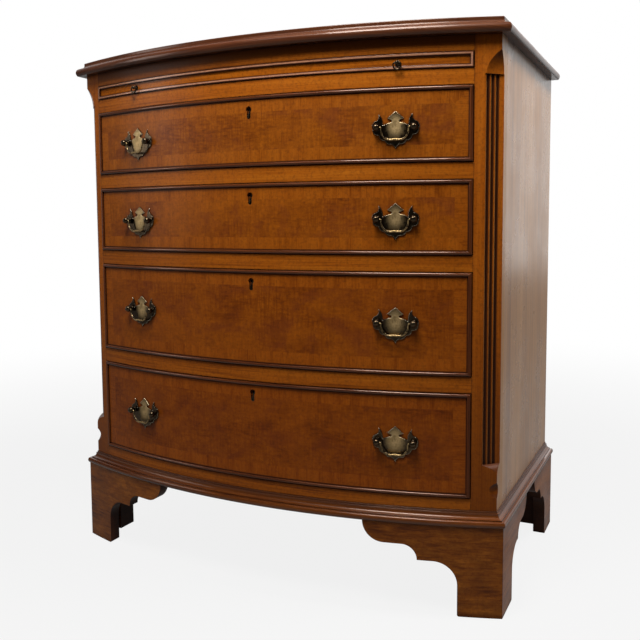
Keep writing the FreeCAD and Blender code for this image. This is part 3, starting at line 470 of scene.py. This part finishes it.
# patina 0 is rubbed brass and 1 is black all over; a plate goes from rubbed to black away from its middle
def agedBrass(name, patina, rubbed=None, glow=1.0):
    material, tree, shader, (x, y, z) = newFinish(name)
    place = objectPlace(tree)
    cloud = noise(tree, place, *brass["cloudNoise"])
    fine = noise(tree, place, *brass["fineNoise"])
    blend = plus(tree, times(tree, cloud, brass["cloudShare"]), times(tree, fine, brass["fineShare"]))
    tarnish = spread(tree, blend, *[end - patina * brass["patinaShift"] for end in brass["tarnishRange"]])
    if rubbed:
        across = times(tree, x, 1 / rubbed["half"])
        upward = times(tree, minus(tree, z, rubbed["middle"]), 1 / rubbed["rise"])
        away = calc(tree, "SQRT", plus(tree, times(tree, across, across), times(tree, upward, upward)))
        away = plus(tree, away, times(tree, minus(tree, cloud, 0.5), rubbed["spots"]))
        tarnish = larger(tree, tarnish, spread(tree, away, rubbed["from"], rubbed["to"]))
    hollow = spread(tree, crevices(tree, brass["dirtReach"]), *brass["hollowRange"])
    dirty = larger(tree, times(tree, tarnish, brass["dirt"]), minus(tree, 1.0, hollow))
    shiny = spread(tree, blend, *brass["brightRange"])
    colour = mixColour(tree, shiny, rgb(brass["dull"]), rgb(brass["bright"]))
    colour = mixColour(tree, dirty, colour, rgb(brass["black"]))
    shader.inputs["Metallic"].default_value = 1.0
    if glow:
        # edges are coloured pale and made less metallic: partly rubbed brass, partly a painted highlight
        worn = times(tree, edgeMask(tree, brass["edgeReach"]), glow)
        colour = stain(tree, colour, worn, brass["edgeGlow"], brass["edgeColour"])
        tree.links.new(minus(tree, 1.0, times(tree, worn, brass["edgeDull"])), shader.inputs["Metallic"])
    dress(tree, shader, colour, mixValue(tree, dirty, brass["rough"], brass["darkRough"]), cloud, brass)
    return material


oak = toned(mahogany, (0.56, 0.38, 0.20), (0.45, 0.28, 0.13), (0.27, 0.15, 0.06),
            streak=0.0030, length=0.14, pore=0.0006, poreLength=0.010, rippleDepth=0.0,
            dirt=0.5, dirtColour=(0.07, 0.04, 0.02), specks=0.25, speckColour=(0.16, 0.09, 0.04),
            wornColour=(0.60, 0.44, 0.27), wear=0.2, rough=0.62, bump=0.3)
pine = toned(oak, (0.46, 0.28, 0.13), (0.37, 0.20, 0.085), (0.22, 0.10, 0.04), streak=0.006,
             length=0.30, dirt=0.6)
# rails: their dark edges are painted shade along the gaps beside the beads
railLook = toned(mahogany, (0.39, 0.110, 0.007), (0.305, 0.076, 0.004), (0.150, 0.034, 0.003),
                 wear=0.90, wearReach=0.0027, wornColour=mahogany["dirtColour"])
# frieze: painted shadow of the top's overhang, as darkening at its top and a wide hollow reach
friezeLook = changed(railLook, dirtReach=0.045, dirt=1.0, fade=0.80, fadeFrom=0.799, fadeTo=0.810)
# posts: painted shade darker towards the bottom, and dark edges painted as gap shade
postLook = toned(mahogany, (0.38, 0.104, 0.007), (0.300, 0.072, 0.004), (0.18, 0.040, 0.003),
                 rippleDepth=0.04, fade=0.62, wear=0.5, wearReach=0.0020, wornColour=mahogany["dirtColour"])
topLook = toned(mahogany, (0.098, 0.031, 0.010), (0.066, 0.019, 0.007), (0.028, 0.008, 0.004),
                streak=0.0030, length=0.16, shine=0.34, shineTint=(1.0, 0.80, 0.68), rough=0.20, bump=0.03,
                edge=0.0012, specks=0.25)
baseLook = toned(mahogany, (0.136, 0.038, 0.006), (0.090, 0.023, 0.004), (0.040, 0.009, 0.003),
                 shine=0.42, shineTint=(1.0, 0.80, 0.68), rough=0.18, bump=0.03, edge=0.0012)
footLook = toned(mahogany, (0.310, 0.098, 0.010), (0.200, 0.054, 0.005), (0.070, 0.016, 0.003),
                 streak=0.0035, length=0.030, rippleGap=0.030, rippleLength=0.012, rippleDepth=0.40,
                 shine=0.12, wear=0.8, wearReach=0.0022, wornColour=(0.030, 0.010, 0.006))
# side: its wide hollow reach paints shade under the top's overhang
sideLook = toned(mahogany, (0.450, 0.220, 0.070), (0.290, 0.125, 0.030), (0.130, 0.045, 0.010),
                 streak=0.0080, length=0.40, shine=0.5, rough=0.28, rippleDepth=0.0, bump=0.05, coat=0.25,
                 coatRough=0.30, specks=0.12, dirtReach=0.030, dirt=0.9, dirtColour=(0.05, 0.03, 0.02))
beadLook = toned(mahogany, (0.110, 0.030, 0.008), (0.070, 0.018, 0.005), (0.032, 0.008, 0.003),
                 shine=0.50, shineTint=(1.0, 0.74, 0.60), rough=0.16, bump=0.01, edge=0.0002,
                 dirtReach=0.004, dirt=0.95, specks=0.2)

finishes = {
    "top": solidWood("polished_top", topLook, "top"),
    "base": solidWood("polished_base", baseLook, "round"),
    "foot": solidWood("polished_foot", footLook, "x", footShade),
    "rail": solidWood("polished_rail", railLook, "round"),
    "frieze": solidWood("polished_frieze", friezeLook, "round"),
    "post": solidWood("polished_post", postLook, "z", fluteShade, sideLook),
    "side": solidWood("polished_side", sideLook, "z"),
    "bead": solidWood("level_bead", beadLook, "round"),
    "beadUp": solidWood("upright_bead", changed(beadLook, shine=0.15), "z"),
    "oak": solidWood("oak_lining", oak, "round"),
    "oakUp": solidWood("oak_drawer_bottom", oak, "x"),
    "pine": solidWood("pine_board", pine, "z"),
    "slide": slideFinish("slide_lipping", railLook, beadLook),
}
print("wood finishes ready", len(finishes))

# a plate is rubbed inside an oval of this half width and rise, which starts to darken at "from"
brassPlate = agedBrass("brass_plate", 0.10, {"half": 0.017, "rise": 0.024, "middle": 0.003, "spots": 0.90,
                                             "from": 0.28, "to": 1.02})
brassLock = agedBrass("brass_lock", 0.35, glow=0.3)
brassBail = agedBrass("brass_bail", 0.42, glow=0.0)
brassDark = agedBrass("brass_pommel", 1.0, glow=0.0)

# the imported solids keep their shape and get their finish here
solidFinish = {
    "top": ["top_board"], "frieze": ["frieze_rail"], "slide": ["slide_front"],
    "base": ["base_front", "base_left", "base_right"],
    "foot": ["foot_front_left", "foot_front_right", "foot_back_left", "foot_back_right"],
    "side": ["side_left", "side_right"], "post": ["corner_post_left", "corner_post_right"],
    "rail": ["bottom_rail", "divider_rail_1", "divider_rail_2", "divider_rail_3", "slide_rail"],
    "oak": ["drawer_runners"], "oakUp": ["dust_boards", "slide_board"],
    "pine": ["back_panel", "bottom_board", "base_back"],
}
drawerFinish = {"sides": "oak", "back": "oakUp", "bottom": "oakUp"}


def finishSolid(node, material):
    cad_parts[node].material_slots[0].material = material


for finish, nodes in solidFinish.items():
    for node in nodes:
        finishSolid(node, finishes[finish])
for number, body in drawers.items():
    finishSolid(body + "_front", veneeredFront(number))
    for part, finish in drawerFinish.items():
        finishSolid(body + "_" + part, finishes[finish])
print("case and drawers finished")


# outlines: points in a plane, where a pair of points stands for an arc's middle and end

# points on a circle about (u, v), with both ends of the sweep
def arc(u, v, radius, start, sweep, steps):
    turns = [start + sweep * i / steps for i in range(steps + 1)]
    return [(u + radius * math.cos(turn), v + radius * math.sin(turn)) for turn in turns]


def circle(u, radius, steps):
    return arc(u, 0.0, radius, 0.0, 2 * math.pi, steps)[:-1]


# the arc from a through b to c, without a itself
def arcPoints(a, b, c, count):
    ax, ay = a
    bx, by = b
    cx, cy = c
    d = 2 * (ax * (by - cy) + bx * (cy - ay) + cx * (ay - by))
    farA, farB, farC = ax ** 2 + ay ** 2, bx ** 2 + by ** 2, cx ** 2 + cy ** 2
    ux = (farA * (by - cy) + farB * (cy - ay) + farC * (ay - by)) / d
    uy = (farA * (cx - bx) + farB * (ax - cx) + farC * (bx - ax)) / d
    start = math.atan2(ay - uy, ax - ux)
    turnB = (math.atan2(by - uy, bx - ux) - start) % (2 * math.pi)
    turnC = (math.atan2(cy - uy, cx - ux) - start) % (2 * math.pi)
    if turnB > turnC:
        turnC -= 2 * math.pi
    return arc(ux, uy, math.hypot(ax - ux, ay - uy), start, turnC, count)[1:]


def outline(start, steps, count):
    points = [start]
    for step in steps:
        if isinstance(step[0], tuple):
            points += arcPoints(points[-1], step[0], step[1], count)
        else:
            points.append(step)
    return points


def scaled(points, factor):
    return [(u * factor, v * factor) for u, v in points]


# mesh helpers; edges that turn by less than these angles are shaded smooth, in degrees
smoothBelow = {"moulding": 30.0, "plate": 40.0, "turned": 40.0, "block": 50.0, "tube": 60.0}
edgeSteps = 2  # in the rounding of a plate's or a block's edges


def smooth(mesh, kind):
    mesh.polygons.foreach_set("use_smooth", [True] * len(mesh.polygons))
    mesh.set_sharp_from_angle(angle=math.radians(smoothBelow[kind]))


def finishMesh(name, made, kind):
    bmesh.ops.recalc_face_normals(made, faces=made.faces)
    mesh = bpy.data.meshes.new(name)
    made.to_mesh(mesh)
    made.free()
    smooth(mesh, kind)
    return mesh


def addObject(name, data):
    made = bpy.data.objects.new(name, data)
    bpy.context.scene.collection.objects.link(made)
    return made


# a plate cut to the first loop and pierced by the others, with its edge rounded and its middle at the depth y
def flatPlate(name, loops, thickness, edge, y):
    curve = bpy.data.curves.new(name, "CURVE")
    curve.dimensions = "2D"
    curve.fill_mode = "BOTH"
    curve.extrude = thickness / 2 - edge
    curve.bevel_depth = edge
    curve.offset = -edge
    curve.bevel_resolution = edgeSteps
    for loop in loops:
        spline = curve.splines.new("POLY")
        spline.points.add(len(loop) - 1)
        for point, (u, v) in zip(spline.points, loop):
            point.co = (u, v, 0.0, 1.0)
        spline.use_cyclic_u = True
    holder = addObject(name, curve)
    bpy.context.view_layer.update()
    mesh = bpy.data.meshes.new_from_object(holder)
    bpy.data.objects.remove(holder)
    bpy.data.curves.remove(curve)
    mesh.transform(Matrix.Translation((0.0, y, 0.0)) @ Matrix.Rotation(math.radians(90), 4, "X"))
    mesh.name = name
    smooth(mesh, "plate")
    return mesh


# a turned piece: each point of its profile is a radius and a reach out of the front
def lathe(name, profile, count):
    made = bmesh.new()
    rings = []
    for radius, reach in profile:
        if radius == 0.0:
            rings.append([made.verts.new((0.0, -reach, 0.0))])
        else:
            rings.append([made.verts.new((u, -reach, v)) for u, v in circle(0.0, radius, count)])
    for first, second in zip(rings, rings[1:]):
        for i in range(count):
            j = (i + 1) % count
            face = list(dict.fromkeys([first[i % len(first)], first[j % len(first)],
                                       second[j % len(second)], second[i % len(second)]]))
            if len(face) > 2:
                made.faces.new(face)
    return finishMesh(name, made, "turned")


# a closed section carried past every station of a path
def strip(name, stations, kind="moulding"):
    made = bmesh.new()
    rings = [[made.verts.new(point) for point in station] for station in stations]
    count = len(rings[0])
    for first, second in zip(rings, rings[1:]):
        for k in range(count):
            made.faces.new((first[k], first[(k + 1) % count], second[(k + 1) % count], second[k]))
    made.faces.new(rings[0])
    made.faces.new(rings[-1])
    return finishMesh(name, made, kind)


def tube(name, path, radii, count):
    stations = []
    side = Vector((0.0, 1.0, 0.0))
    for i, point in enumerate(path):
        along = (path[min(i + 1, len(path) - 1)] - path[max(i - 1, 0)]).normalized()
        side = (side - along * side.dot(along)).normalized()
        other = along.cross(side)
        stations.append([point + (side * u + other * v) * radii[i] for u, v in circle(0.0, 1.0, count)])
    return strip(name, stations, "tube")


def addPiece(name, mesh, material, body, place, stands):
    piece = addObject(name, mesh)
    if not mesh.materials:
        mesh.materials.append(material)
    piece.matrix_world = place
    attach(piece, body)
    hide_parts(stands)


# mouldings worked along the bow in fine steps, so that their highlights run clean; millimetres

moulding = {
    "steps": 72, "round": 12, "inner": -50.0,
    "top": {"overhang": 15.0, "nose": 12.0, "swell": 2.6, "fillet": 1.4, "coveFoot": 8.0, "cove": 5.0,
            "ease": 1.2, "height": 22.5},
    "base": {"overhang": 15.0, "nose": 8.5, "swell": 2.0, "fillet": 1.5, "coveFoot": 9.0, "cove": 6.0,
             "edge": 1.2, "upper": 2.5, "height": 20.0},
    "bead": {"width": 4.8, "proud": 3.0, "swell": 2.0, "depth": 11.7},
}


# the stations along the bow, from -1 at its left end to 1 at its right end
def bowShares():
    return [2 * i / moulding["steps"] - 1 for i in range(moulding["steps"] + 1)]


def mouldedEdge(look):
    inset = look["overhang"] - look["swell"]
    low = look["nose"] + look["fillet"]
    foot = look["coveFoot"]
    slant = look["cove"] * math.sqrt(0.5)
    head = (foot - look["cove"], low + look["cove"])
    height = look["height"]
    steps = [((look["overhang"], look["nose"] / 2), (inset, look["nose"])), (foot, look["nose"]), (foot, low),
             ((foot - slant, head[1] - slant), head)]
    if "ease" in look:
        ease = look["ease"]
        middle = ease * (1 - math.sqrt(0.5))
        steps += [(head[0], height - ease), ((head[0] - middle, height - middle), (head[0] - ease, height))]
    else:
        upper = height - look["upper"]
        steps += [(head[0], upper), (look["edge"], upper), (look["edge"], height)]
    return scaled(outline((inset, 0.0), steps, moulding["round"]), mm)


def topMesh():
    low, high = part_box("top_board")
    made = bmesh.new()
    rows = []
    for out, up in mouldedEdge(moulding["top"]):
        reach = halfWidth + out
        row = [bowPoint(reach * share, low.z + up, out) for share in bowShares()]
        row = [Vector((-reach, high.y, low.z + up))] + row + [Vector((reach, high.y, low.z + up))]
        rows.append([made.verts.new(point) for point in row])
    for lower, upper in zip(rows, rows[1:]):
        for i in range(len(lower) - 1):
            made.faces.new((lower[i], lower[i + 1], upper[i + 1], upper[i]))
    made.faces.new(rows[0])
    made.faces.new(rows[-1])
    made.faces.new([row[0] for row in rows] + [row[-1] for row in reversed(rows)])
    return finishMesh("mouldedTop", made, "moulding")


# a station of the base at a share of its bowed front; 1 and -1 are its corners
def baseStation(share):
    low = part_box("base_front")[0].z
    edge = mouldedEdge(moulding["base"])
    inner = moulding["inner"] * mm
    section = edge + [(inner, edge[-1][1]), (inner, edge[0][1])]
    return [bowPoint((halfWidth + out) * share, low + up, out) for out, up in section]


def baseEndMesh(side):
    corner = baseStation(side)
    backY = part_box("base_right")[1].y
    return strip("baseEnd", [corner, [Vector((point.x, backY, point.z)) for point in corner]])


addPiece("moulded_top", topMesh(), finishes["top"], "case", inPlace, "top_board")
addPiece("base_moulding_front", strip("baseFront", [baseStation(share) for share in bowShares()]),
         finishes["base"], "case", inPlace, "base_front")
for side, sign in (("left", -1), ("right", 1)):
    addPiece("base_moulding_" + side, baseEndMesh(sign), finishes["base"], "case", inPlace, "base_" + side)


# the four mitred beads of a drawer: each section point is (inwards from the outer edge, in front of the bow)
def beadSection():
    look = moulding["bead"]
    straight = look["proud"] - look["swell"]
    nose = outline((0.0, straight), [((look["width"] / 2, look["proud"]), (look["width"], straight))],
                   moulding["round"])
    return scaled([(0.0, -look["depth"])] + nose + [(look["width"], -look["depth"])], mm)


# a bead runs through stations, each a share of the drawer's half width and whether it is at the top
def cockBead(low, high, stations):
    return strip("cockBead", [
        [bowPoint((high.x - inwards) * share, high.z - inwards if top else low.z + inwards, proud)
         for inwards, proud in beadSection()] for share, top in stations])


beads = {
    "lower": ("bead", [(share, False) for share in bowShares()]),
    "upper": ("bead", [(share, True) for share in bowShares()]),
    "left": ("beadUp", [(-1, False), (-1, True)]),
    "right": ("beadUp", [(1, False), (1, True)]),
}
for number, body in drawers.items():
    node = body + "_cock_bead"
    for side, (finish, stations) in beads.items():
        addPiece("cock_bead_%d_%s" % (number, side), cockBead(*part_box(node), stations), finishes[finish],
                 body, inPlace, node)
print("mouldings and beads on")

# swan neck pulls, in millimetres; the batwing is the right half of the plate, from its top downwards

pull = {
    "place": 225.0, "lifts": {4: 2.0, 3: 1.0, 2: -2.0, 1: -3.5}, "spacing": 53.0, "gap": 0.3,
    "plate": 1.6, "plateEdge": 0.70, "plateSteps": 8, "eye": 2.3, "eyeSteps": 24, "top": (0.0, 22.6),
    "batwing": [(11.8, 12.8), (7.8, 10.9), ((5.2, 9.0), (7.6, 7.1)), ((12.4, 5.8), (18.4, 3.2)),
                ((19.2, 11.8), (24.4, 19.4)), ((25.0, 12.0), (30.0, 8.6)), ((33.4, 4.4), (32.8, -1.6)),
                ((30.4, -8.4), (24.0, -10.2)), ((21.6, -15.8), (15.2, -17.8)), ((11.6, -22.4), (6.0, -23.0)),
                ((2.8, -25.2), (0.0, -29.0))],
    "pommel": 5.2, "reach": 8.6, "neck": 2.6, "flare": 0.9, "flareRise": 0.5, "ballSteps": 10,
    "pommelSides": 40, "collar": 5.0, "collarHeight": 1.2, "collarFoot": 0.4, "collarRise": 0.35,
    "collarLip": 0.3, "shank": 2.0, "wood": 22.6, "tail": 3.0,
    "nut": 5.0, "nutHeight": 3.0, "nutFront": 0.3, "nutBack": 0.4, "nutSides": 6,
    "bail": 1.3, "bailThick": 1.6, "bailSlim": 0.15, "drop": 17.6, "bend": 13.5, "hump": 0.6, "clear": 0.6,
    "pin": 1.9, "corner": 2.4, "cornerMiddle": 0.7, "bailSteps": 12, "humpSteps": 20, "bailSides": 16,
}

# how far the middle of a quarter bend lies in from its corner, as a share of its radius
bendShare = 0.293


def batwingLoops():
    half = outline(pull["top"], pull["batwing"], pull["plateSteps"])
    whole = half + [(-u, v) for u, v in reversed(half[1:-1])]
    eyes = [circle(side * pull["spacing"] / 2, pull["eye"], pull["eyeSteps"]) for side in (-1, 1)]
    return [scaled(loop, mm) for loop in [whole] + eyes]


# the ball of a knob, from where its neck enters it to its tip
def ballPoints(ball, neck, reach, steps):
    first = math.asin(neck / ball)
    turns = [first + (math.pi - first) * i / steps for i in range(steps)]
    return [(ball * math.sin(turn), reach - ball * math.cos(turn)) for turn in turns] + [(0.0, reach + ball)]


def pommelProfile():
    back = -pull["wood"] - pull["nutHeight"] - pull["tail"]
    face = pull["gap"] + pull["plate"]
    top = face + pull["collarHeight"]
    neck, collar, shank = pull["neck"], pull["collar"], pull["shank"]
    ball = ballPoints(pull["pommel"], neck, pull["reach"], pull["ballSteps"])
    post = [(0.0, back), (shank, back), (shank, face), (collar - pull["collarFoot"], face),
            (collar, face + pull["collarRise"]), (collar - pull["collarLip"], top),
            (neck + pull["flare"], top + pull["flareRise"]), (neck, (top + ball[0][1]) / 2)]
    return scaled(post + ball, mm)


def nutProfile():
    nut, shank, front = pull["nut"], pull["shank"], -pull["wood"]
    back = front - pull["nutHeight"]
    return scaled([(shank, front), (nut - pull["nutFront"], front), (nut, front - pull["nutFront"]),
                   (nut, back + pull["nutBack"]), (nut - pull["nutBack"], back), (shank, back)], mm)


# the bail turns in the pommels, drops from them, and gets thicker towards the hump at its bottom
def bailPath():
    neck = pull["spacing"] / 2 - pull["pommel"] - pull["clear"] - pull["bail"]
    low = -pull["drop"]
    bend, corner, cornerMiddle = pull["bend"], pull["corner"], pull["cornerMiddle"]
    right = [(neck + corner, 0.0), ((neck + cornerMiddle, -cornerMiddle), (neck, -corner)),
             (neck, bend + low), ((neck - bend * bendShare, low + bend * bendShare), (neck - bend, low))]
    half = outline((pull["spacing"] / 2 + pull["pin"], 0.0), right, pull["bailSteps"])
    inner = half[-1][0]
    bottom = []
    for i in range(1, pull["humpSteps"]):
        u = inner - 2 * inner * i / pull["humpSteps"]
        bottom.append((u, low + pull["hump"] * 0.5 * (1 + math.cos(math.pi * u / inner))))
    points = half + bottom + [(-u, v) for u, v in reversed(half)]
    slim = pull["bail"] - pull["bailSlim"]
    drops = [min(max(-v / pull["drop"], 0.0), 1.0) for u, v in points]
    return ([Vector((u, -pull["reach"], v)) * mm for u, v in points],
            [(slim + (pull["bailThick"] - slim) * drop ** 2) * mm for drop in drops])


plateMesh = flatPlate("batwingPlate", batwingLoops(), pull["plate"] * mm, pull["plateEdge"] * mm,
                      -(pull["gap"] + pull["plate"] / 2) * mm)
pommelMesh = lathe("pommelPost", pommelProfile(), pull["pommelSides"])
nutMesh = lathe("pullNut", nutProfile(), pull["nutSides"])
bailMesh = tube("swanNeckBail", *bailPath(), pull["bailSides"])
for number, body in drawers.items():
    fittings = body + "_fittings"
    low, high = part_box(body + "_front")
    middle = (low.z + high.z) / 2 + pull["lifts"][number] * mm
    for side, x in (("left", -pull["place"]), ("right", pull["place"])):
        place = onBow(x * mm, middle)
        addPiece("batwing_plate_%d_%s" % (number, side), plateMesh, brassPlate, body, place, fittings)
        for which, sign in (("a", -1), ("b", 1)):
            spot = place @ Matrix.Translation((sign * pull["spacing"] / 2 * mm, 0.0, 0.0))
            addPiece("pommel_%d_%s_%s" % (number, side, which), pommelMesh, brassDark, body, spot, fittings)
            addPiece("pull_nut_%d_%s_%s" % (number, side, which), nutMesh, brassLock, body, spot, fittings)
        bail = "%s_bail_%s" % (body, side)
        addPiece("swan_neck_bail_%d_%s" % (number, side), bailMesh, brassBail, bail, place, bail)
print("pulls on")

# locks and keyholes, in millimetres; a drop is measured from the top of the drawer front

lock = {
    "drops": {4: 16.5, 3: 17.0, 2: 17.5, 1: 19.0}, "eye": 2.7, "slot": 2.4, "length": 11.0, "eyeSteps": 20,
    "footSteps": 8, "rim": 1.7, "rimEdge": 0.3, "depth": 3.0, "proud": 0.2,
    "front": 22.0, "plateProud": 1.0, "width": 56.0,
    "case": {"height": 38.0, "thickness": 8.0, "below": 0.4, "edge": 0.5},
    "selvedge": {"height": 2.0, "thickness": 10.0, "below": 0.0, "edge": 0.4},
}


def keyholeLoop(grow):
    radius = lock["eye"] + grow
    slot = lock["slot"] / 2 + grow
    join = -math.sqrt(radius ** 2 - slot ** 2)
    start = math.atan2(join, slot)
    sweep = 2 * math.pi - (math.atan2(join, -slot) - start) % (2 * math.pi)
    foot = arc(0.0, -lock["length"], slot, math.pi, math.pi, lock["footSteps"])
    return scaled(arc(0.0, 0.0, radius, start, sweep, lock["eyeSteps"]) + foot, mm)


def blockMesh(name, low, high, edge):
    made = bmesh.new()
    bmesh.ops.create_cube(made, size=1.0)
    for vert in made.verts:
        vert.co = Vector([low[i] + (high[i] - low[i]) * (vert.co[i] + 0.5) for i in range(3)])
    bmesh.ops.bevel(made, geom=made.edges[:], offset=edge, segments=edgeSteps, affect="EDGES")
    return finishMesh(name, made, "block")


rimMesh = flatPlate("keyholeRim", [keyholeLoop(lock["rim"]), keyholeLoop(0.0)], lock["depth"] * mm,
                    lock["rimEdge"] * mm, (lock["depth"] / 2 - lock["proud"]) * mm)
half = lock["width"] / 2 * mm
back = frontY + (lock["front"] + lock["plateProud"]) * mm
for number, body in drawers.items():
    fittings = body + "_fittings"
    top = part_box(body + "_front")[1].z
    keyhole = Matrix.Translation((0.0, frontY, top - lock["drops"][number] * mm))
    addPiece("escutcheon_%d" % number, rimMesh, brassDark, body, keyhole, fittings)
    for part in ("case", "selvedge"):
        look = lock[part]
        name = "lock_%s_%d" % (part, number)
        block = blockMesh(name, (-half, back - look["thickness"] * mm, top - look["height"] * mm),
                          (half, back, top - look["below"] * mm), look["edge"] * mm)
        addPiece(name, block, brassLock, body, inPlace, fittings)
print("locks on")

# drop rings of the brushing slide, in millimetres

ring = {
    "place": 227.5, "drop": 1.8, "field": -0.9, "gap": 0.3, "shank": 1.4, "tail": 14.0,
    "rosette": 4.25, "rim": 0.2, "rimRise": 0.25, "edge": 0.5, "dome": 3.2, "domeRise": 0.75,
    "neck": 1.5, "flare": 0.3, "flareRise": 1.1, "thickness": 1.4, "knob": 2.8, "reach": 6.0, "ballSteps": 9,
    "rosetteSides": 32, "wire": 1.0, "width": 13.0, "bend": 2.5, "limb": 1.2, "steps": 12, "sides": 12,
}
slideLow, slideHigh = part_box("slide_front")
ringZ = (slideLow.z + slideHigh.z) / 2 - ring["drop"] * mm


def rosetteProfile():
    face = ring["field"] + ring["gap"]
    neck, shank, rosette = ring["neck"], ring["shank"], ring["rosette"]
    post = [(0.0, -ring["tail"]), (shank, -ring["tail"]), (shank, face), (rosette - ring["rim"], face),
            (rosette, face + ring["rimRise"]), (rosette - ring["rim"], face + ring["edge"]),
            (ring["dome"], face + ring["domeRise"]), (neck + ring["flare"], face + ring["flareRise"]),
            (neck, face + ring["thickness"])]
    return scaled(post + ballPoints(ring["knob"], neck, face + ring["reach"], ring["ballSteps"]), mm)


def ringPath():
    reach = ring["field"] + ring["gap"] + ring["reach"]
    half = ring["width"] / 2 - ring["wire"]
    bend = ring["bend"]
    low = -bend - ring["limb"]
    turn = bend * bendShare
    steps = [(half - bend, 0.0), ((half - turn, -turn), (half, -bend)), (half, low),
             ((0.0, low - half), (-half, low)), (-half, -bend),
             ((-half + turn, -turn), (-half + bend, 0.0)), (0.0, 0.0)]
    points = outline((0.0, 0.0), steps, ring["steps"])
    return [Vector((u, -reach, v)) * mm for u, v in points], [ring["wire"] * mm] * len(points)


rosetteMesh = lathe("ringRosette", rosetteProfile(), ring["rosetteSides"])
ringMesh = tube("dropRing", *ringPath(), ring["sides"])
for side, x in (("left", -ring["place"]), ("right", ring["place"])):
    place = onBow(x * mm, ringZ)
    addPiece("ring_rosette_" + side, rosetteMesh, brassDark, "brushing_slide", place, "slide_ring_posts")
    addPiece("drop_ring_" + side, ringMesh, brassDark, "slide_ring_" + side, place, "slide_ring_" + side)
print("rings on")

studio = {
    "floorHalf": 8.0, "floor": (0.25, 0.247, 0.243), "gritNoise": (3.0, 3.0, 0.5), "gritTone": 0.97,
    "floorGlow": 0.86, "glowRange": (0.6, 2.6), "floorGloss": 0.22,
    "worldLight": 0.02, "glossFront": 0.05, "glossRange": (-0.25, 0.55),
    "keyPlace": (0.14, -0.70, 1.60), "keyAim": (0.05, -0.2, 0.70), "keySize": (0.5, 0.5), "keyPower": 21.0,
    "topPlace": (0.0, -0.95, 2.10), "topAim": (0.0, -0.2, 0.4), "topSize": (1.6, 0.25), "topPower": 6.0,
    "leftPlace": (-1.4, -1.0, 0.95), "leftAim": (-0.2, -0.15, 0.6), "leftSize": (0.3, 0.8), "leftPower": 3.6,
    "rightPlace": (1.02, 0.05, 2.10), "rightAim": (0.38, 0.05, 0.60), "rightSize": (0.4, 0.4),
    "rightPower": 42.0,
    "backPlace": (-0.90, 2.40, 1.50), "backAim": (0.0, 0.23, 0.45), "backSize": (2.6, 2.6), "backPower": 20.0,
}
white = (1.0, 1.0, 1.0, 1.0)


def softbox(which):
    place = Vector(studio[which + "Place"])
    lamp = bpy.data.lights.new(which + "Softbox", "AREA")
    lamp.shape = "RECTANGLE"
    lamp.size, lamp.size_y = studio[which + "Size"]
    lamp.energy = studio[which + "Power"]
    made = addObject(which + "Softbox", lamp)
    made.location = place
    made.rotation_euler = (Vector(studio[which + "Aim"]) - place).to_track_quat("-Z", "Y").to_euler()


for which in ("key", "top", "left", "right", "back"):
    softbox(which)

floorMesh = bpy.data.meshes.new("studioFloor")
floorMesh.from_pydata([(u * studio["floorHalf"], v * studio["floorHalf"], 0)
                       for u, v in ((-1, -1), (1, -1), (1, 1), (-1, 1))], [], [(0, 1, 2, 3)])
addObject("studioFloor", floorMesh)

# the floor glows white for the camera and a little for reflections, least near the chest, to keep its shadow
floorMaterial = bpy.data.materials.new("pale_floor")
tree = emptyTree(floorMaterial)
rays = addNode(tree, "LightPath").outputs
mirrored = larger(tree, rays["Is Glossy Ray"], rays["Is Transmission Ray"])
seen = larger(tree, rays["Is Camera Ray"], times(tree, mirrored, studio["floorGloss"]))
place = objectPlace(tree)
away = addNode(tree, "VectorMath", {0: place}, operation="LENGTH").outputs["Value"]
glow = spread(tree, away, *studio["glowRange"], studio["floorGlow"], 1.0)
grit = noise(tree, place, *studio["gritNoise"])
darker = [part * studio["gritTone"] for part in studio["floor"]]
pale = mixColour(tree, grit, rgb(studio["floor"]), rgb(darker))
matte = addNode(tree, "BsdfDiffuse", {"Color": pale}).outputs[0]
shine = addNode(tree, "Emission", {"Color": white, "Strength": 1.0}).outputs[0]
mixed = addNode(tree, "MixShader", {0: times(tree, seen, glow), 1: matte, 2: shine}).outputs[0]
addNode(tree, "OutputMaterial", {"Surface": mixed})
floorMesh.materials.append(floorMaterial)

# the world is white for the camera; reflections find it bright behind the chest and dark in front
world = bpy.data.worlds.new("studioWorld")
bpy.context.scene.world = world
tree = emptyTree(world)
rays = addNode(tree, "LightPath").outputs
direction = addNode(tree, "TexCoord").outputs["Generated"]
backdrop = spread(tree, split(tree, direction)[1], *studio["glossRange"], studio["glossFront"], 1.0)
plain = larger(tree, rays["Is Camera Ray"], rays["Is Transmission Ray"])
strength = mixValue(tree, rays["Is Glossy Ray"], studio["worldLight"], backdrop)
strength = mixValue(tree, plain, strength, 1.0)
light = addNode(tree, "Background", {"Color": white, "Strength": strength}).outputs[0]
addNode(tree, "OutputWorld", {"Surface": light})

camera = {
    "place": (0.61244, -1.20023, 0.56290), "yaw": 0.422592, "pitch": 0.081658, "roll": -0.003218,
    "focal": 763.74, "centre": (352.50, 285.19), "image": 640.0, "sensor": 36.0, "farthest": 50.0,
}
lens = bpy.data.cameras.new("viewCamera")
lens.sensor_width = camera["sensor"]
lens.lens = camera["focal"] * camera["sensor"] / camera["image"]
lens.shift_x = (camera["image"] / 2 - camera["centre"][0]) / camera["image"]
lens.shift_y = (camera["centre"][1] - camera["image"] / 2) / camera["image"]
lens.clip_end = camera["farthest"]
viewer = addObject("viewCamera", lens)
yaw, pitch, roll = camera["yaw"], camera["pitch"], camera["roll"]
ahead = Vector((-math.sin(yaw) * math.cos(pitch), math.cos(yaw) * math.cos(pitch), -math.sin(pitch)))
rightward = Vector((math.cos(yaw), math.sin(yaw), 0.0))
upward = rightward.cross(ahead)
across = rightward * math.cos(roll) + upward * math.sin(roll)
aloft = upward * math.cos(roll) - rightward * math.sin(roll)
turn = Matrix((across, aloft, -ahead)).transposed().to_4x4()
viewer.matrix_world = Matrix.Translation(camera["place"]) @ turn
bpy.context.scene.camera = viewer
bpy.context.scene.view_settings.view_transform = "Standard"
print("camera and studio set")
